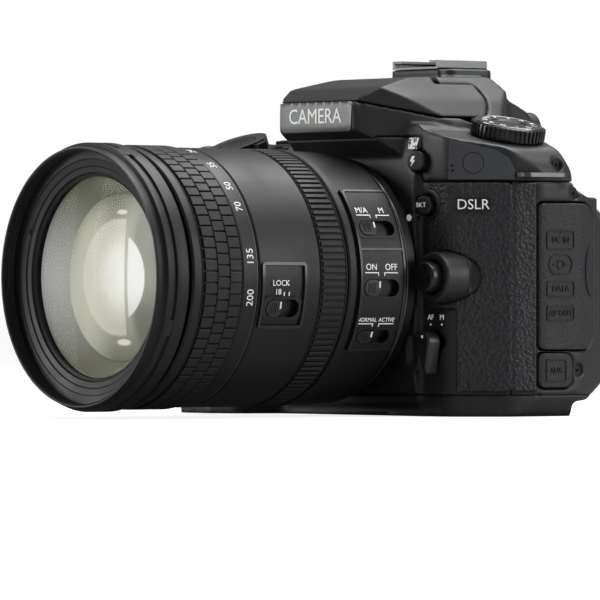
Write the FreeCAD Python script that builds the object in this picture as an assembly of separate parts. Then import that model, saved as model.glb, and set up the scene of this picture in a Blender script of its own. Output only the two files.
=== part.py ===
import FreeCAD, Part
import math
import os

# Single-lens reflex camera with a zoom lens, built as separate pieces, in millimetres.
# X runs to the right seen from the front, Y runs from the lens towards the back, Z is up.
# The pieces are drawn with Y = 0 on the lens flange and Z = 0 on the base. They are then
# written with the origin moved back to the tripod socket.

os.makedirs("parts", exist_ok=True)

# Driving dimensions
axis_height = 39.8          # lens axis above the base
socket_y = 22.0             # tripod socket behind the flange
lens_length = 96.5          # flange to front rim
wall = 2.3                  # casing thickness
gap = 0.3                   # air between pieces that move past each other
press = 0.6                 # travel of a button

# Casing
left_x = -72.5
right_x = 57.5
back_y = 60.0
seam_z = 67.4               # top cover sits above this
shoulder_z = 66.8           # step in the rear corner beside the finder
shoulder_y = 46.8           # back of the casing above the step
shoulder_r = 3.0
corner_turn = 51.5          # direction of the rounded rear right corner, in degrees
base_seam_z = 6.2           # bottom cover lies below this
plateau_y = 0.4             # raised face round the lens mount
fascia_y = -10.7            # front of the flash housing
fascia_x = 17.2             # half its width
finder_y = 58.4             # back of the finder housing
eyepiece_y = 54.5
roof_z = 98.6

# Lens radii
rim_r = 36.9
hood_ring_r = 38.0
thread_r = 36.0
thread_length = 4.4
sleeve_r = 34.7
band_r = 37.0
front_tube_r = 31.8
middle_tube_r = 33.4
throat_r = 23.6

hinge_y = 24.0              # flash hinge
hinge_z = 93.6
barrel_r = 4.2
arm_r = 8.7                 # round end of the flash arms
arm_x = 19.2                # inner face of the flash arms

dial_centre = FreeCAD.Vector(42.0, 26.9, 84.6)
dial_tilt = 13.0
dial_r = 10.8
dial_height = 4.4

shutter_centre = FreeCAD.Vector(-47.0, -3.0, 80.4)
shutter_tilt = 20.0

made = {}


def vec(x, y, z):
    return FreeCAD.Vector(x, y, z)


def keep(name, shape):
    """Stores a finished piece under its node name."""
    made[name] = shape


def joined(shapes):
    first = shapes[0]
    if len(shapes) == 1:
        return first
    return first.fuse(shapes[1:]).removeSplitter()


def box(low, high):
    size = [high[i] - low[i] for i in range(3)]
    return Part.makeBox(size[0], size[1], size[2], vec(*low))


def cylinder(start, direction, radius, length):
    return Part.makeCylinder(radius, length, start, direction)


def rounded_wire(points, radii, to_space):
    """A closed outline whose corners are tangent arcs; to_space lifts a flat point into space."""
    if not isinstance(radii, (list, tuple)):
        radii = [radii] * len(points)
    corners = []
    count = len(points)
    for i in range(count):
        before = FreeCAD.Vector(*points[i - 1], 0)
        here = FreeCAD.Vector(*points[i], 0)
        after = FreeCAD.Vector(*points[(i + 1) % count], 0)
        into = (before - here).normalize()
        out = (after - here).normalize()
        half_turn = into.getAngle(out) / 2.0
        room = radii[i] / math.tan(half_turn)
        start = here + into * room
        end = here + out * room
        middle = here + (into + out).normalize() * (radii[i] / math.sin(half_turn) - radii[i])
        corners.append((start, middle, end))
    edges = []
    for i in range(count):
        start, middle, end = corners[i]
        following = corners[(i + 1) % count][0]
        if (start - end).Length > 1e-6:
            edges.append(Part.Arc(to_space(start), to_space(middle), to_space(end)).toShape())
        if (following - end).Length > 1e-6:
            edges.append(Part.LineSegment(to_space(end), to_space(following)).toShape())
    return Part.Wire(edges)


def plan_prism(points, radii, low, high, inset=0.0):
    """Outline in X and Y, raised along Z."""
    wire = rounded_wire(points, radii, lambda p: vec(p.x, p.y, low))
    if inset:
        wire = wire.makeOffset2D(-inset)
    return Part.Face(wire).extrude(vec(0, 0, high - low))


def front_prism(points, radii, low, high, inset=0.0):
    """Outline in X and Z, run along Y."""
    wire = rounded_wire(points, radii, lambda p: vec(p.x, low, p.y))
    if inset:
        wire = wire.makeOffset2D(-inset)
    return Part.Face(wire).extrude(vec(0, high - low, 0))


def side_prism(points, radii, low, high, inset=0.0):
    """Outline in Y and Z, run along X."""
    wire = rounded_wire(points, radii, lambda p: vec(low, p.x, p.y))
    if inset:
        wire = wire.makeOffset2D(-inset)
    return Part.Face(wire).extrude(vec(high - low, 0, 0))


def turned(profile):
    """A solid turned about the lens axis from (distance behind the rim, radius) points."""
    points = [vec(0, d - lens_length, axis_height + r) for d, r in profile]
    face = Part.Face(Part.makePolygon(points + [points[0]]))
    return face.revolve(vec(0, 0, axis_height), vec(0, 1, 0), 360)


def ring(d0, d1, outer, inner):
    return turned([(d0, inner), (d0, outer), (d1, outer), (d1, inner)])


def dome_sag(bulge, edge_r, r):
    """How far a dome has fallen back at radius r, when it falls back by bulge at edge_r."""
    ball_r = (edge_r ** 2 + bulge ** 2) / (2 * bulge)
    return ball_r - math.sqrt(ball_r ** 2 - r ** 2)


def round_lens(front_d, back_d, radius, front_bulge, back_bulge):
    """A glass element with two domed faces and a straight edge."""
    def place(d, r):
        return vec(0, d - lens_length, axis_height + r)
    half = radius / 2
    front_edge = place(front_d + front_bulge, radius)
    back_edge = place(back_d - back_bulge, radius)
    front_mid = place(front_d + dome_sag(front_bulge, radius, half), half)
    back_mid = place(back_d - dome_sag(back_bulge, radius, half), half)
    edges = [
        Part.Arc(place(front_d, 0), front_mid, front_edge).toShape(),
        Part.LineSegment(front_edge, back_edge).toShape(),
        Part.Arc(back_edge, back_mid, place(back_d, 0)).toShape(),
        Part.LineSegment(place(back_d, 0), place(front_d, 0)).toShape(),
    ]
    return Part.Face(Part.Wire(edges)).revolve(vec(0, 0, axis_height), vec(0, 1, 0), 360)


# ---- casing forms ----

plan_points = [
    (-31, 4), (31, 3.2), (42, 4), (54.2, 18), (right_x, 27), (right_x, 41), (52.5, 54), (43, back_y),
    (-62, back_y), (left_x, 52), (left_x, 5), (-66.5, -10.5), (-50, -12), (-40, -8), (-35, 4),
]
plan_radii = [3, 6, 8, 10, 8, 8, 6, 8, 8, 8, 10, 7, 9, 7, 5]
# above the shoulder the back steps forward beside the finder
shoulder_points = [
    (-31, 4), (31, 3.2), (42, 4), (54.2, 18), (right_x, 27), (right_x, 33.5), (50.4, shoulder_y),
    (-22, shoulder_y), (-27, back_y), (-62, back_y), (left_x, 52), (left_x, 5), (-66.5, -10.5), (-50, -12),
    (-40, -8), (-35, 4),
]
shoulder_radii = [3, 6, 8, 10, 8, 8, 5, 3, 3, 8, 8, 10, 7, 9, 7, 5]


def casing_plan(low, high, inset=0.0):
    return plan_prism(plan_points, plan_radii, low, high, inset)


def stepped_plan(inset=0.0):
    """Casing outline with its rounded shoulder."""
    lower = casing_plan(-1, shoulder_z - inset, inset)
    if not inset:
        rim = [edge for edge in lower.Edges if edge.BoundBox.ZMin > shoulder_z - 0.01]
        lower = lower.makeFillet(shoulder_r, rim)
    upper = plan_prism(shoulder_points, shoulder_radii, 50, 99, inset)
    return joined([lower, upper])


def main_form(inset=0.0):
    front = front_prism(
        [(-68, 0), (left_x, 6), (left_x - 0.5, 60), (-69.5, 74), (-62, 79.3), (-30, 79.3),
         (-28, 84), (29, 84), (32, 82.2), (53, 77.2), (right_x, 71), (right_x, 6), (54, 0)],
        [3, 6, 8, 7, 8, 1, 1, 1, 2, 5, 8, 6, 3], -30, 80, inset)
    right = side_prism(
        [(-20, 0), (56, 0), (back_y + 0.5, 5), (back_y + 0.5, 70.5), (47.3, 73.5), (39, 85.5), (38.5, 95),
         (-20, 95)],
        [1, 3, 5, 1, 9, 4, 1, 1], 0, 80, inset)
    left = side_prism(
        [(-20, 0), (56, 0), (back_y + 0.5, 5), (back_y + 0.5, 72), (56, 80), (50, 95), (10, 95), (-2, 80),
         (-11, 76), (-20, 60)],
        [1, 3, 5, 6, 6, 2, 5, 10, 6, 2], -80, 0.001, inset)
    body = stepped_plan(inset).common(front).common(joined([right, left]))
    return body.common(corner_form(inset))


def corner_form(inset):
    """Rounding of the rear right corner, run through the casing at corner_turn."""
    points = [
        (-160, -3), (61.0, -3), (64.6, -0.6), (65.4, 4.2), (69.4, 4.6), (74.0, 9.5), (75.4, 14), (75.4, 50),
        (73.4, 57.2), (70.6, 62.4), (65.6, 65.6), (64.9, 70.6), (61.4, 76.2), (56.8, 79.6), (44, 88),
        (30, 120), (-160, 120),
    ]
    radii = [1, 4, 1.5, 1.5, 3, 5, 2, 12, 6, 4, 2, 6, 6, 4, 4, 4, 1]
    turn = math.radians(corner_turn)
    across = vec(math.cos(turn), math.sin(turn), 0)
    along = vec(-math.sin(turn), math.cos(turn), 0)
    wire = rounded_wire(points, radii, lambda p: across * p.x + vec(0, 0, p.y) - along * 160)
    if inset:
        wire = wire.makeOffset2D(-inset)
    return Part.Face(wire).extrude(along * 320)


def plateau_form(inset=0.0):
    """Raised block that carries the lens mount."""
    block = front_prism([(-32, 3), (-33, 40), (-30, 82.5), (30, 82.5), (31.5, 40), (31, 3)],
                        [3, 40, 6, 6, 40, 3], plateau_y + inset, 16, inset)
    lean = side_prism(
        [(plateau_y + 2.5, 0), (plateau_y, 12), (plateau_y, 60), (plateau_y + 3, 90), (20, 90), (20, 0)],
        [2, 20, 20, 2, 2, 2], -40, 40)
    return block.common(lean)


def housing_form(inset=0.0):
    """Flash and finder housing with its overhanging front."""
    side = side_prism(
        [(fascia_y, 82), (fascia_y, 90.6), (-3, 94.9), (10, 97.9), (41.5, roof_z), (44, 92.5), (53, 88.8),
         (finder_y, 84), (finder_y, 67.5), (10, 62), (3, 74), (-5, 79.5)],
        [2, 2.5, 12, 30, 2.5, 4, 4, 3, 2, 2, 8, 10], -40, 40, inset)
    front = front_prism(
        [(-31, 62), (-31, 84), (-25, 91.5), (-15.5, roof_z + 0.6), (15.5, roof_z + 0.6), (25, 91.5), (31, 84),
         (31, 62)],
        [1, 6, 12, 6, 6, 12, 6, 1], -30, 80, inset)
    plan = plan_prism(
        [(-fascia_x, fascia_y - 0.3), (fascia_x, fascia_y - 0.3), (25, 3), (31.5, 18), (31, 33.5), (19.8, 45),
         (18.5, finder_y + 0.3), (-18.5, finder_y + 0.3), (-19.8, 45), (-31, 33.5), (-31.5, 18), (-25, 3)],
        [3, 3, 14, 14, 10, 5, 3, 3, 5, 10, 14, 14], 55, 105, inset)
    return side.common(front).common(plan)


def shutter_axis():
    angle = math.radians(shutter_tilt)
    return vec(0, -math.sin(angle), math.cos(angle))


def dial_axis():
    angle = math.radians(dial_tilt)
    return vec(math.sin(angle), 0, math.cos(angle))


def shutter_deck(inset=0.0):
    """Round nose of the grip under the power switch."""
    axis = shutter_axis()
    top = shutter_centre - axis * (3.6 + inset)
    return Part.makeCone(10.6 - inset, 9.0 - inset, 9.0, top - axis * 9.0, axis)


def fascia_relief():
    """Corners of the fascia are cut to a soft trapezium."""
    outline = front_prism([(-17.6, 70), (-18.8, 84), (-16.6, 96), (16.6, 96), (18.8, 84), (17.6, 70)],
                          [1, 3, 1, 1, 3, 1], fascia_y - 1, fascia_y + 2.4)
    return box((-40, fascia_y - 1, 70), (40, fascia_y + 2.4, 96)).cut(outline)


outer_form = joined([main_form(), plateau_form(), housing_form(), shutter_deck()]).cut(fascia_relief())
dial_cut = cylinder(dial_centre - dial_axis() * (dial_height + gap), dial_axis(), dial_r + 0.9, 12)
inner_form = joined([main_form(wall), housing_form(wall)])
inner_form = inner_form.cut(box((-40, -20, 66), (40, 6.5, 100)))


# ---- buttons and their pockets ----

casing_cuts = []
button_list = [
    # name, centre of the cap's outer face, direction it points, radius, total length
    ("flash_button", (31.4, 0.5, 73.3), (0.35, -1, 0.05), 2.9, 4.6),
    ("bracket_button", (34.1, 1.3, 60.6), (0.30, -1, 0), 2.7, 5.0),
    ("preview_button", (-37.5, 0.6, 52.0), (-0.75, -0.75, 0), 2.6, 5.0),
    ("function_button", (-37.0, 1.2, 27.0), (-0.75, -0.75, 0), 2.6, 5.0),
    ("menu_button", (40.5, back_y + 1.0, 47.0), (0, 1, 0), 3.0, 4.2),
    ("playback_button", (40.5, back_y + 1.0, 57.0), (0, 1, 0), 3.0, 4.2),
    ("zoom_button", (40.5, back_y + 1.0, 36.0), (0, 1, 0), 3.0, 4.2),
    ("live_view_button", (-45.0, back_y + 1.0, 60.5), (0, 1, 0), 2.8, 4.2),
    ("metering_button", (-37.5, 8.5, 80.5), (0, 0, 1), 2.3, 4.4),
    ("exposure_button", (-44.5, 12.5, 80.5), (0, 0, 1), 2.3, 4.4),
]


def make_buttons():
    for name, face, direction, radius, length in button_list:
        out = vec(*direction).normalize()
        top = vec(*face)
        cap = cylinder(top - out * length, out, radius, length)
        cap = cap.makeFillet(0.5, [cap.Edges[0]])
        pocket = cylinder(top - out * (length + press + gap), out, radius + gap, length + press + gap + 6)
        keep(name, cap)
        casing_cuts.append(pocket)


def make_shutter_group():
    """Release button in the middle of the power switch ring."""
    axis = shutter_axis()
    button = cylinder(shutter_centre - axis * 6.0, axis, 5.2, 5.4)
    stem = cylinder(shutter_centre - axis * 7.5, axis, 2.2, 2.0)
    hollow = Part.makeSphere(22.0, shutter_centre + axis * 21.0)
    keep("shutter_button", joined([button, stem]).cut(hollow))
    collar = cylinder(shutter_centre - axis * 3.3, axis, 8.8, 2.7).cut(
        cylinder(shutter_centre - axis * 4.0, axis, 5.2 + gap, 5.0))
    lug_start = shutter_centre - axis * 3.3 + vec(8.2, 0, 0)
    lug = Part.makeBox(3.4, 3.2, 2.4, vec(0, -1.6, 0))
    lug.rotate(vec(0, 0, 0), vec(1, 0, 0), shutter_tilt)
    lug.translate(lug_start)
    keep("power_switch", joined([collar, lug]))
    casing_cuts.append(cylinder(shutter_centre - axis * (7.5 + press + gap), axis, 5.2 + gap, 12))
    casing_cuts.append(cylinder(shutter_centre - axis * 3.6, axis, 12.6, 12))


def toothed_wheel(centre, axis, radius, thickness, teeth, depth, width):
    """Dial with straight teeth cut round its rim."""
    wheel = cylinder(vec(0, 0, 0), vec(0, 0, 1), radius, thickness)
    notch = box((radius - depth, -width / 2, -1), (radius + 1, width / 2, thickness + 1))
    notches = []
    for i in range(teeth):
        cutter = notch.copy()
        cutter.rotate(vec(0, 0, 0), vec(0, 0, 1), 360.0 * i / teeth)
        notches.append(cutter)
    wheel = wheel.cut(Part.makeCompound(notches))
    turn = FreeCAD.Rotation(vec(0, 0, 1), axis)
    wheel.Placement = FreeCAD.Placement(centre, turn).multiply(wheel.Placement)
    return wheel


def make_dials():
    axis = dial_axis()
    low = dial_centre - axis * dial_height
    dial = toothed_wheel(low, axis, dial_r, dial_height - 0.5, 36, 0.6, 0.7)
    crown = cylinder(dial_centre - axis * 0.6, axis, dial_r - 1.0, 0.6)
    spindle = cylinder(low - axis * 5.0, axis, 3.0, 5.2)
    keep("mode_dial", joined([dial, crown, spindle]))
    casing_cuts.append(cylinder(low - axis * 5.6, axis, 3.05, 6.0))

    rear = toothed_wheel(vec(-52, back_y - 7.2, 69.5), vec(0, 0, 1), 8.6, 5.6, 30, 0.6, 0.8)
    rear_hub = cylinder(vec(-52, back_y - 7.2, 68.3), vec(0, 0, 1), 2.0, 8.0)
    keep("rear_command_dial", joined([rear, rear_hub]))
    casing_cuts.append(cylinder(vec(-52, back_y - 7.2, 69.1), vec(0, 0, 1), 8.95, 6.4))
    casing_cuts.append(cylinder(vec(-52, back_y - 7.2, 67.9), vec(0, 0, 1), 2.05, 8.8))

    front = toothed_wheel(vec(-54, -5.0, 58.5), vec(0, 0, 1), 8.0, 5.6, 28, 0.6, 0.8)
    front_hub = cylinder(vec(-54, -5.0, 57.3), vec(0, 0, 1), 2.0, 8.0)
    keep("front_command_dial", joined([front, front_hub]))
    casing_cuts.append(cylinder(vec(-54, -5.0, 58.1), vec(0, 0, 1), 8.35, 6.4))
    casing_cuts.append(cylinder(vec(-54, -5.0, 56.9), vec(0, 0, 1), 2.05, 8.8))


def make_selector():
    """Eight-way pad on the back, rocking on a ball behind it."""
    pad = cylinder(vec(-49, back_y - 3.4, 42), vec(0, 1, 0), 7.4, 4.6)
    dish = Part.makeSphere(26, vec(-49, back_y + 26.4, 42))
    keep("multi_selector", pad.cut(dish))
    casing_cuts.append(cylinder(vec(-49, back_y - 4.4, 42), vec(0, 1, 0), 8.2, 9))


def make_lens_release():
    """Round button, its stem and the lock pin that it draws back."""
    centre = vec(41.0, 0, 40.0)
    cap = cylinder(centre + vec(0, -4.6, 0), vec(0, 1, 0), 4.4, 8.0)
    cap = cap.makeFillet(0.9, [e for e in cap.Edges if abs(e.BoundBox.YMax + 4.6) < 0.01][:1])
    arm = box((24.6, 3.2, 38.2), (43.0, 5.2, 41.8))
    pin = cylinder(vec(26.2, -1.6, axis_height), vec(0, 1, 0), 1.3, 5.5)
    keep("lens_release_button", joined([cap, arm, pin]))
    casing_cuts.append(cylinder(centre + vec(0, -5, 0), vec(0, 1, 0), 4.4 + gap, 14))
    casing_cuts.append(box((23.9, 2.6, 37.6), (43.6, 8.2, 42.4)))


def make_mode_lever():
    """Focus mode lever: a small disc with a pointer."""
    centre = vec(36.5, 0, 21.3)
    disc = cylinder(centre + vec(0, -1.2, 0), vec(0, 1, 0), 3.0, 6.2)
    arm = box((35.1, -1.2, 13.4), (37.9, 1.6, 21.3))
    tip = cylinder(vec(36.5, -1.2, 13.4), vec(0, 1, 0), 1.4, 2.8)
    keep("focus_mode_lever", joined([disc, arm, tip]))
    casing_cuts.append(cylinder(centre + vec(0, -3, 0), vec(0, 1, 0), 3.0 + gap, 9.2))
    sweep = cylinder(centre + vec(0, -4, 0), vec(0, 1, 0), 10.2, 6.0)
    casing_cuts.append(sweep.common(box((28, -5, 9), (43.5, 2.2, 23.5))))


# ---- flash ----

def lid_outline(lower_z, end_y, clear):
    """Side view of the lid: a sloping lower edge, and round ends about the hinge."""
    slant = side_prism([(fascia_y - 3, lower_z + 5.4), (12, lower_z), (end_y, lower_z), (end_y, 110),
                        (fascia_y - 3, 110)], [0.1, 20, 0.1, 0.1, 0.1], -45, 45)
    ahead = box((-45, -30, 60), (45, hinge_y, 120))
    round_end = cylinder(vec(-45, hinge_y, hinge_z), vec(1, 0, 0), arm_r + clear, 90)
    return slant.common(ahead.fuse(round_end))


def make_flash():
    """Lid with its lamp box and two side arms, on a barrel hinge in front of the hot shoe."""
    housing = housing_form().cut(fascia_relief())
    lid = housing.common(lid_outline(86.2, 60, 0.0))
    middle = side_prism([(hinge_y - 8.0, 60), (50, 60), (50, 120), (hinge_y - 4.6, 120),
                         (hinge_y - 4.6, 99.5), (hinge_y - 8.0, 92)], 0.1, -arm_x, arm_x)
    lid = lid.cut(middle)
    lid = lid.cut(housing_form(wall).common(box((-45, fascia_y + 3.2, 60), (45, 60, 120))))
    barrel = cylinder(vec(-14.5, hinge_y, hinge_z), vec(1, 0, 0), barrel_r, 29.0)
    neck = side_prism([(hinge_y - 8, 94.6), (hinge_y - 8, 98.0), (hinge_y - 4, 97.9), (hinge_y - 1, 96.6),
                       (hinge_y - 1, 93)], 0.2, -13.0, 13.0)
    pin = cylinder(vec(-20.5, hinge_y, hinge_z), vec(1, 0, 0), 1.2, 41.0)
    lamp_case = box((-13.5, -7.2, 84.5), (13.5, 4.0, 95.0))
    lamp_hole = box((-12.0, -8.2, 85.5), (12.0, 2.6, 93.2)).common(housing_form(1.0))
    head = joined([lid, lamp_case.common(housing_form(0.5)), neck, barrel, pin]).cut(lamp_hole)
    keep("flash_head", head)
    window = box((-12.0, -7.1, 85.5), (12.0, -5.7, 91.0))
    reflector = box((-12.0, -5.7, 91.0), (12.0, 2.0, 91.4))
    keep("flash_window", window.fuse(reflector).removeSplitter())
    lid_space = lid_outline(86.2 - gap, 60, gap)
    roof_kept = box((-arm_x + gap, hinge_y - 4.0, 60), (arm_x - gap, 60, 120))
    round_space = cylinder(vec(-45, hinge_y, hinge_z), vec(1, 0, 0), arm_r + gap, 90)
    lid_space = lid_space.fuse(round_space).cut(roof_kept)
    well = box((-14.2, -8.3, 83.6), (14.2, hinge_y - 3, 100))
    barrel_space = cylinder(vec(-14.9, hinge_y, hinge_z), vec(1, 0, 0), barrel_r + gap, 29.8)
    pin_space = cylinder(vec(-20.9, hinge_y, hinge_z), vec(1, 0, 0), 1.25, 41.8)
    above = box((-14.9, hinge_y - 5, hinge_z), (14.9, hinge_y + 2.2, 110))
    return [lid_space, well, barrel_space, pin_space, above]


def hinge_lugs():
    """Two ears under the roof that hold the hinge pin."""
    outline = [(hinge_y - 3, 91), (hinge_y + 3, 91), (hinge_y + 3, 99), (hinge_y - 3, 99)]
    ears = [side_prism(outline, 0.8, low, low + 3) for low in (-18.3, 15.3)]
    return joined(ears).common(housing_form(1.0))


# ---- doors ----

def wall_band(low, high, thickness, skin=0.0):
    """Strip of the casing's side wall between two heights."""
    return casing_plan(low, high, -skin).cut(casing_plan(low - 1, high + 1, thickness))


def make_doors():
    cover = wall_band(19.2, 61.2, 1.6, 0.3).common(
        side_prism([(25.2, 19.2), (47.0, 19.2), (47.0, 61.2), (25.2, 61.2)], [2, 5, 5, 2], 40, 70))
    keep("connector_cover", cover)
    space = wall_band(18.9, 61.5, 6.6, 3.0).common(
        side_prism([(24.9, 18.9), (47.3, 18.9), (47.3, 61.5), (24.9, 61.5)], [2, 5, 5, 2], 40, 70))
    small = wall_band(8.3, 18.2, 1.6, 0.3).common(
        side_prism([(25.2, 8.3), (37.5, 8.3), (37.5, 18.2), (25.2, 18.2)], [2, 3, 3, 2], 40, 70))
    keep("remote_cover", small)
    small_space = wall_band(8.0, 18.5, 6.6, 3.0).common(
        side_prism([(24.9, 8.0), (37.8, 8.0), (37.8, 18.5), (24.9, 18.5)], [2, 3, 3, 2], 40, 70))
    card = wall_band(22.0, 56.0, 1.8, 0.2).common(box((-80, 33.5, 22), (-64, 56, 56)))
    keep("card_door", card)
    card_space = wall_band(21.7, 56.3, wall + 0.6, 3.0).common(box((-80, 33.2, 21.7), (-64, 56.3, 56.3)))
    battery = plan_prism([(-67.5, -2), (-44, -2), (-44, 40), (-67.5, 40)], 3, 0.3, 2.0)
    keep("battery_door", battery)
    battery_space = plan_prism(
        [(-67.8, -2.3), (-43.7, -2.3), (-43.7, 40.3), (-67.8, 40.3)], 3.3, -1, wall + 0.4)
    return [space, small_space, card_space], battery_space


def port_bay():
    """Solid floor behind the connector cover, with its sockets."""
    floor = wall_band(17.5, 63.0, 9.2).common(box((40, 22.5, 17.5), (70, 50, 63.0)))
    lower = wall_band(7.0, 19.5, 9.2).common(box((40, 22.5, 7.0), (70, 40, 17.5)))
    sockets = [
        cylinder(vec(45, 34, 54), vec(1, 0, 0), 2.6, 12),
        box((46, 30, 43), (60, 38, 47.5)),
        box((46, 29, 33), (60, 40, 36.2)),
        cylinder(vec(45, 34, 25.5), vec(1, 0, 0), 1.8, 12),
        box((46, 28.5, 11), (60, 34.5, 15)),
    ]
    return joined([floor, lower]).cut(Part.makeCompound(sockets))


# ---- fixed body pieces ----

def skin_region():
    """Areas of the front casing that carry the rubber skin."""
    side = side_prism([(-20, 7.2), (17.4, 7.2), (17.4, 67.0), (-20, 67.0)], [1, 1, 1, 1], 33.8, 70)
    strip = box((50, 18.0, 7.2), (70, 24.6, 67.0))
    hole = cylinder(vec(41, -10, 40), vec(0, 1, 0), 7.4, 40)
    lever = side_prism([(-20, 7), (9.5, 7), (9.5, 31), (-20, 31)], [0.5, 0.5, 0.5, 0.5], 30, 43.8)
    bracket = cylinder(vec(34.4, -10, 60.6), vec(0, 1, 0), 4.6, 40)
    left = side_prism([(-20, 8.0), (30.0, 8.0), (30.0, 66.8), (-20, 66.8)], [1, 1, 1, 1], -80, -34.5)
    dial_window = box((-62.5, -20, 57.0), (-46.0, 0, 66.9))
    finder = cylinder(vec(-38, 0, 52), vec(-0.75, -0.75, 0), 4.2, 12)
    finder_low = cylinder(vec(-38, 0, 27), vec(-0.75, -0.75, 0), 4.2, 12)
    right_side = joined([side, strip]).cut(hole).cut(lever).cut(bracket)
    left_side = left.cut(dial_window).cut(finder).cut(finder_low)
    return right_side, left_side


def make_casings(flash_spaces, door_spaces, battery_space):
    shell = joined([outer_form.cut(inner_form), hinge_lugs()])
    release_boss = cylinder(vec(41.0, -1.2, 40.0), vec(0, 1, 0), 7.2, 9)
    shell = shell.fuse(release_boss).fuse(port_bay().cut(box((40, 20, 0), (46, 60, 70))))
    shell = shell.cut(dial_cut)
    mount_hole = cylinder(vec(0, -20, axis_height), vec(0, 1, 0), 29.4, 40)
    mount_rim = Part.makeCone(33.4, 31.6, 3.0, vec(0, -1.5, axis_height), vec(0, 1, 0))
    shell = shell.cut(mount_hole).cut(mount_rim)
    for cut in casing_cuts:
        shell = shell.cut(cut)
    for cut in flash_spaces + door_spaces:
        shell = shell.cut(cut)

    band = casing_plan(0, 80, -0.5).cut(casing_plan(-1, 81, 0.9))
    right_side, left_side = skin_region()
    pockets = Part.makeCompound(casing_cuts)
    skin_right = band.common(right_side).cut(pockets)
    skin_left = band.common(left_side).common(left_limit()).cut(pockets)
    keep("rubber_skins", Part.makeCompound(skin_right.Solids + skin_left.Solids))
    rebate = casing_plan(0, 80, -1.5).cut(casing_plan(-1, 81, 0.9))
    shell = shell.cut(rebate.common(right_side))
    shell = shell.cut(rebate.common(left_side).common(left_limit()))

    rear_region = joined([
        box((20, 17.7, base_seam_z), (90, 90, seam_z)),
        box((-90, 31, base_seam_z), (-40, 90, seam_z)),
        box((-90, 50, base_seam_z), (90, 90, seam_z)),
    ])
    top_region = box((-90, -30, seam_z), (90, 90, 120)).cut(box((-34.5, -5, 60), (31.4, 3.6, 80.5)))
    bottom_region = box((-90, -30, -5), (90, 90, base_seam_z))

    top = shell.common(top_region)
    rear = shell.common(rear_region)
    bottom = shell.common(bottom_region).cut(battery_space)
    front = shell.cut(top_region).cut(rear_region).cut(bottom_region)

    screen_seat = front_prism(
        [(-36.3, 9.7), (34.3, 9.7), (34.3, 62.3), (-36.3, 62.3)], 3, back_y - 1.2, back_y + 3)
    screen_window = front_prism([(-30, 14), (29, 14), (29, 58), (-30, 58)], 2, back_y - 9, back_y + 3)
    rear = rear.cut(screen_seat).cut(screen_window)
    top_seat = plan_prism([(-64, 24), (-34, 24), (-34, 46), (-64, 46)], 2, 78.3, 82)
    top = top.cut(top_seat).cut(plan_prism([(-61, 27), (-37, 27), (-37, 43), (-61, 43)], 2, 70, 82))
    top = top.cut(front_prism([(-8, 75), (8, 75), (8, 85), (-8, 85)], 2, 44, 70))
    top = top.cut(box((-9, eyepiece_y, 74.2), (9, 70, 85.8)))
    frame_seat = front_prism([(-11.8, 71.5), (11.8, 71.5), (11.8, 87), (-11.8, 87)], 3, eyepiece_y + 1.8, 70)
    top = top.cut(frame_seat)
    bottom = bottom.cut(cylinder(vec(0, socket_y, -1), vec(0, 0, 1), 6.2, 9))
    keep("top_cover", top)
    keep("rear_cover", rear)
    keep("bottom_cover", bottom)
    keep("front_casing", largest(front))


def left_limit():
    """The rubber on the grip stops short of the rounded edges."""
    return front_prism([(-80, 8), (-80, 66.8), (-34.5, 66.8), (-34.5, 8)], [1, 1, 4, 4], -30, 60)


def largest(shape):
    """The biggest solid of a shape that a cut may have left in crumbs."""
    return sorted(shape.Solids, key=lambda solid: solid.Volume)[-1]


def make_hot_shoe():
    rails = front_prism([(-10.5, 100.9), (10.5, 100.9), (10.5, 103.4), (-10.5, 103.4)], 0.4, 26.5, 45.0)
    slot = front_prism([(-9.4, 101.5), (9.4, 101.5), (9.4, 102.7), (-9.4, 102.7)], 0.2, 25.0, 43.4)
    mouth = box((-6.4, 25, 102.0), (6.4, 43.4, 105))
    keep("hot_shoe", rails.cut(slot).cut(mouth))


def shoe_platform():
    """Foot under the hot shoe, part of the top cover."""
    return plan_prism([(-13, 29.2), (13, 29.2), (13, 46), (-13, 46)], 3, roof_z - 2.5, 100.9).fuse(
        plan_prism([(-11, 26.3), (11, 26.3), (11, 30), (-11, 30)], 0.5, 99.2, 100.9))


def make_mount_ring():
    """Bayonet of the body: a steel ring with three inner tabs."""
    plate = ring(lens_length + 0.0, lens_length + 1.8, 29.2, throat_r)
    hub = ring(lens_length + 1.8, lens_length + 7.0, 26.0, throat_r)
    tabs = []
    for middle in (90, 210, 330):
        tab = ring(lens_length + 0.05, lens_length + 1.7, throat_r + 0.2, 22.1)
        tabs.append(tab.common(wedge(middle, 25, 30)))
    relief = cylinder(vec(26.2, -3, axis_height), vec(0, 1, 0), 1.6, 20)
    pin_way = box((23.9, 2.4, 37.6), (43.6, 8.4, 42.4))
    keep("body_mount_ring", joined([plate, hub] + tabs).cut(relief).cut(pin_way))


def wedge(middle, half_angle, reach):
    """A pie slice about the lens axis; angles run from the top towards +X."""
    corners = [vec(0, -40, axis_height)]
    for step in (-half_angle, 0, half_angle):
        angle = math.radians(middle + step)
        far = reach / math.cos(math.radians(half_angle)) * 1.1
        corners.append(vec(far * math.sin(angle), -40, axis_height + far * math.cos(angle)))
    return Part.Face(Part.makePolygon(corners + [corners[0]])).extrude(vec(0, 90, 0))


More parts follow.
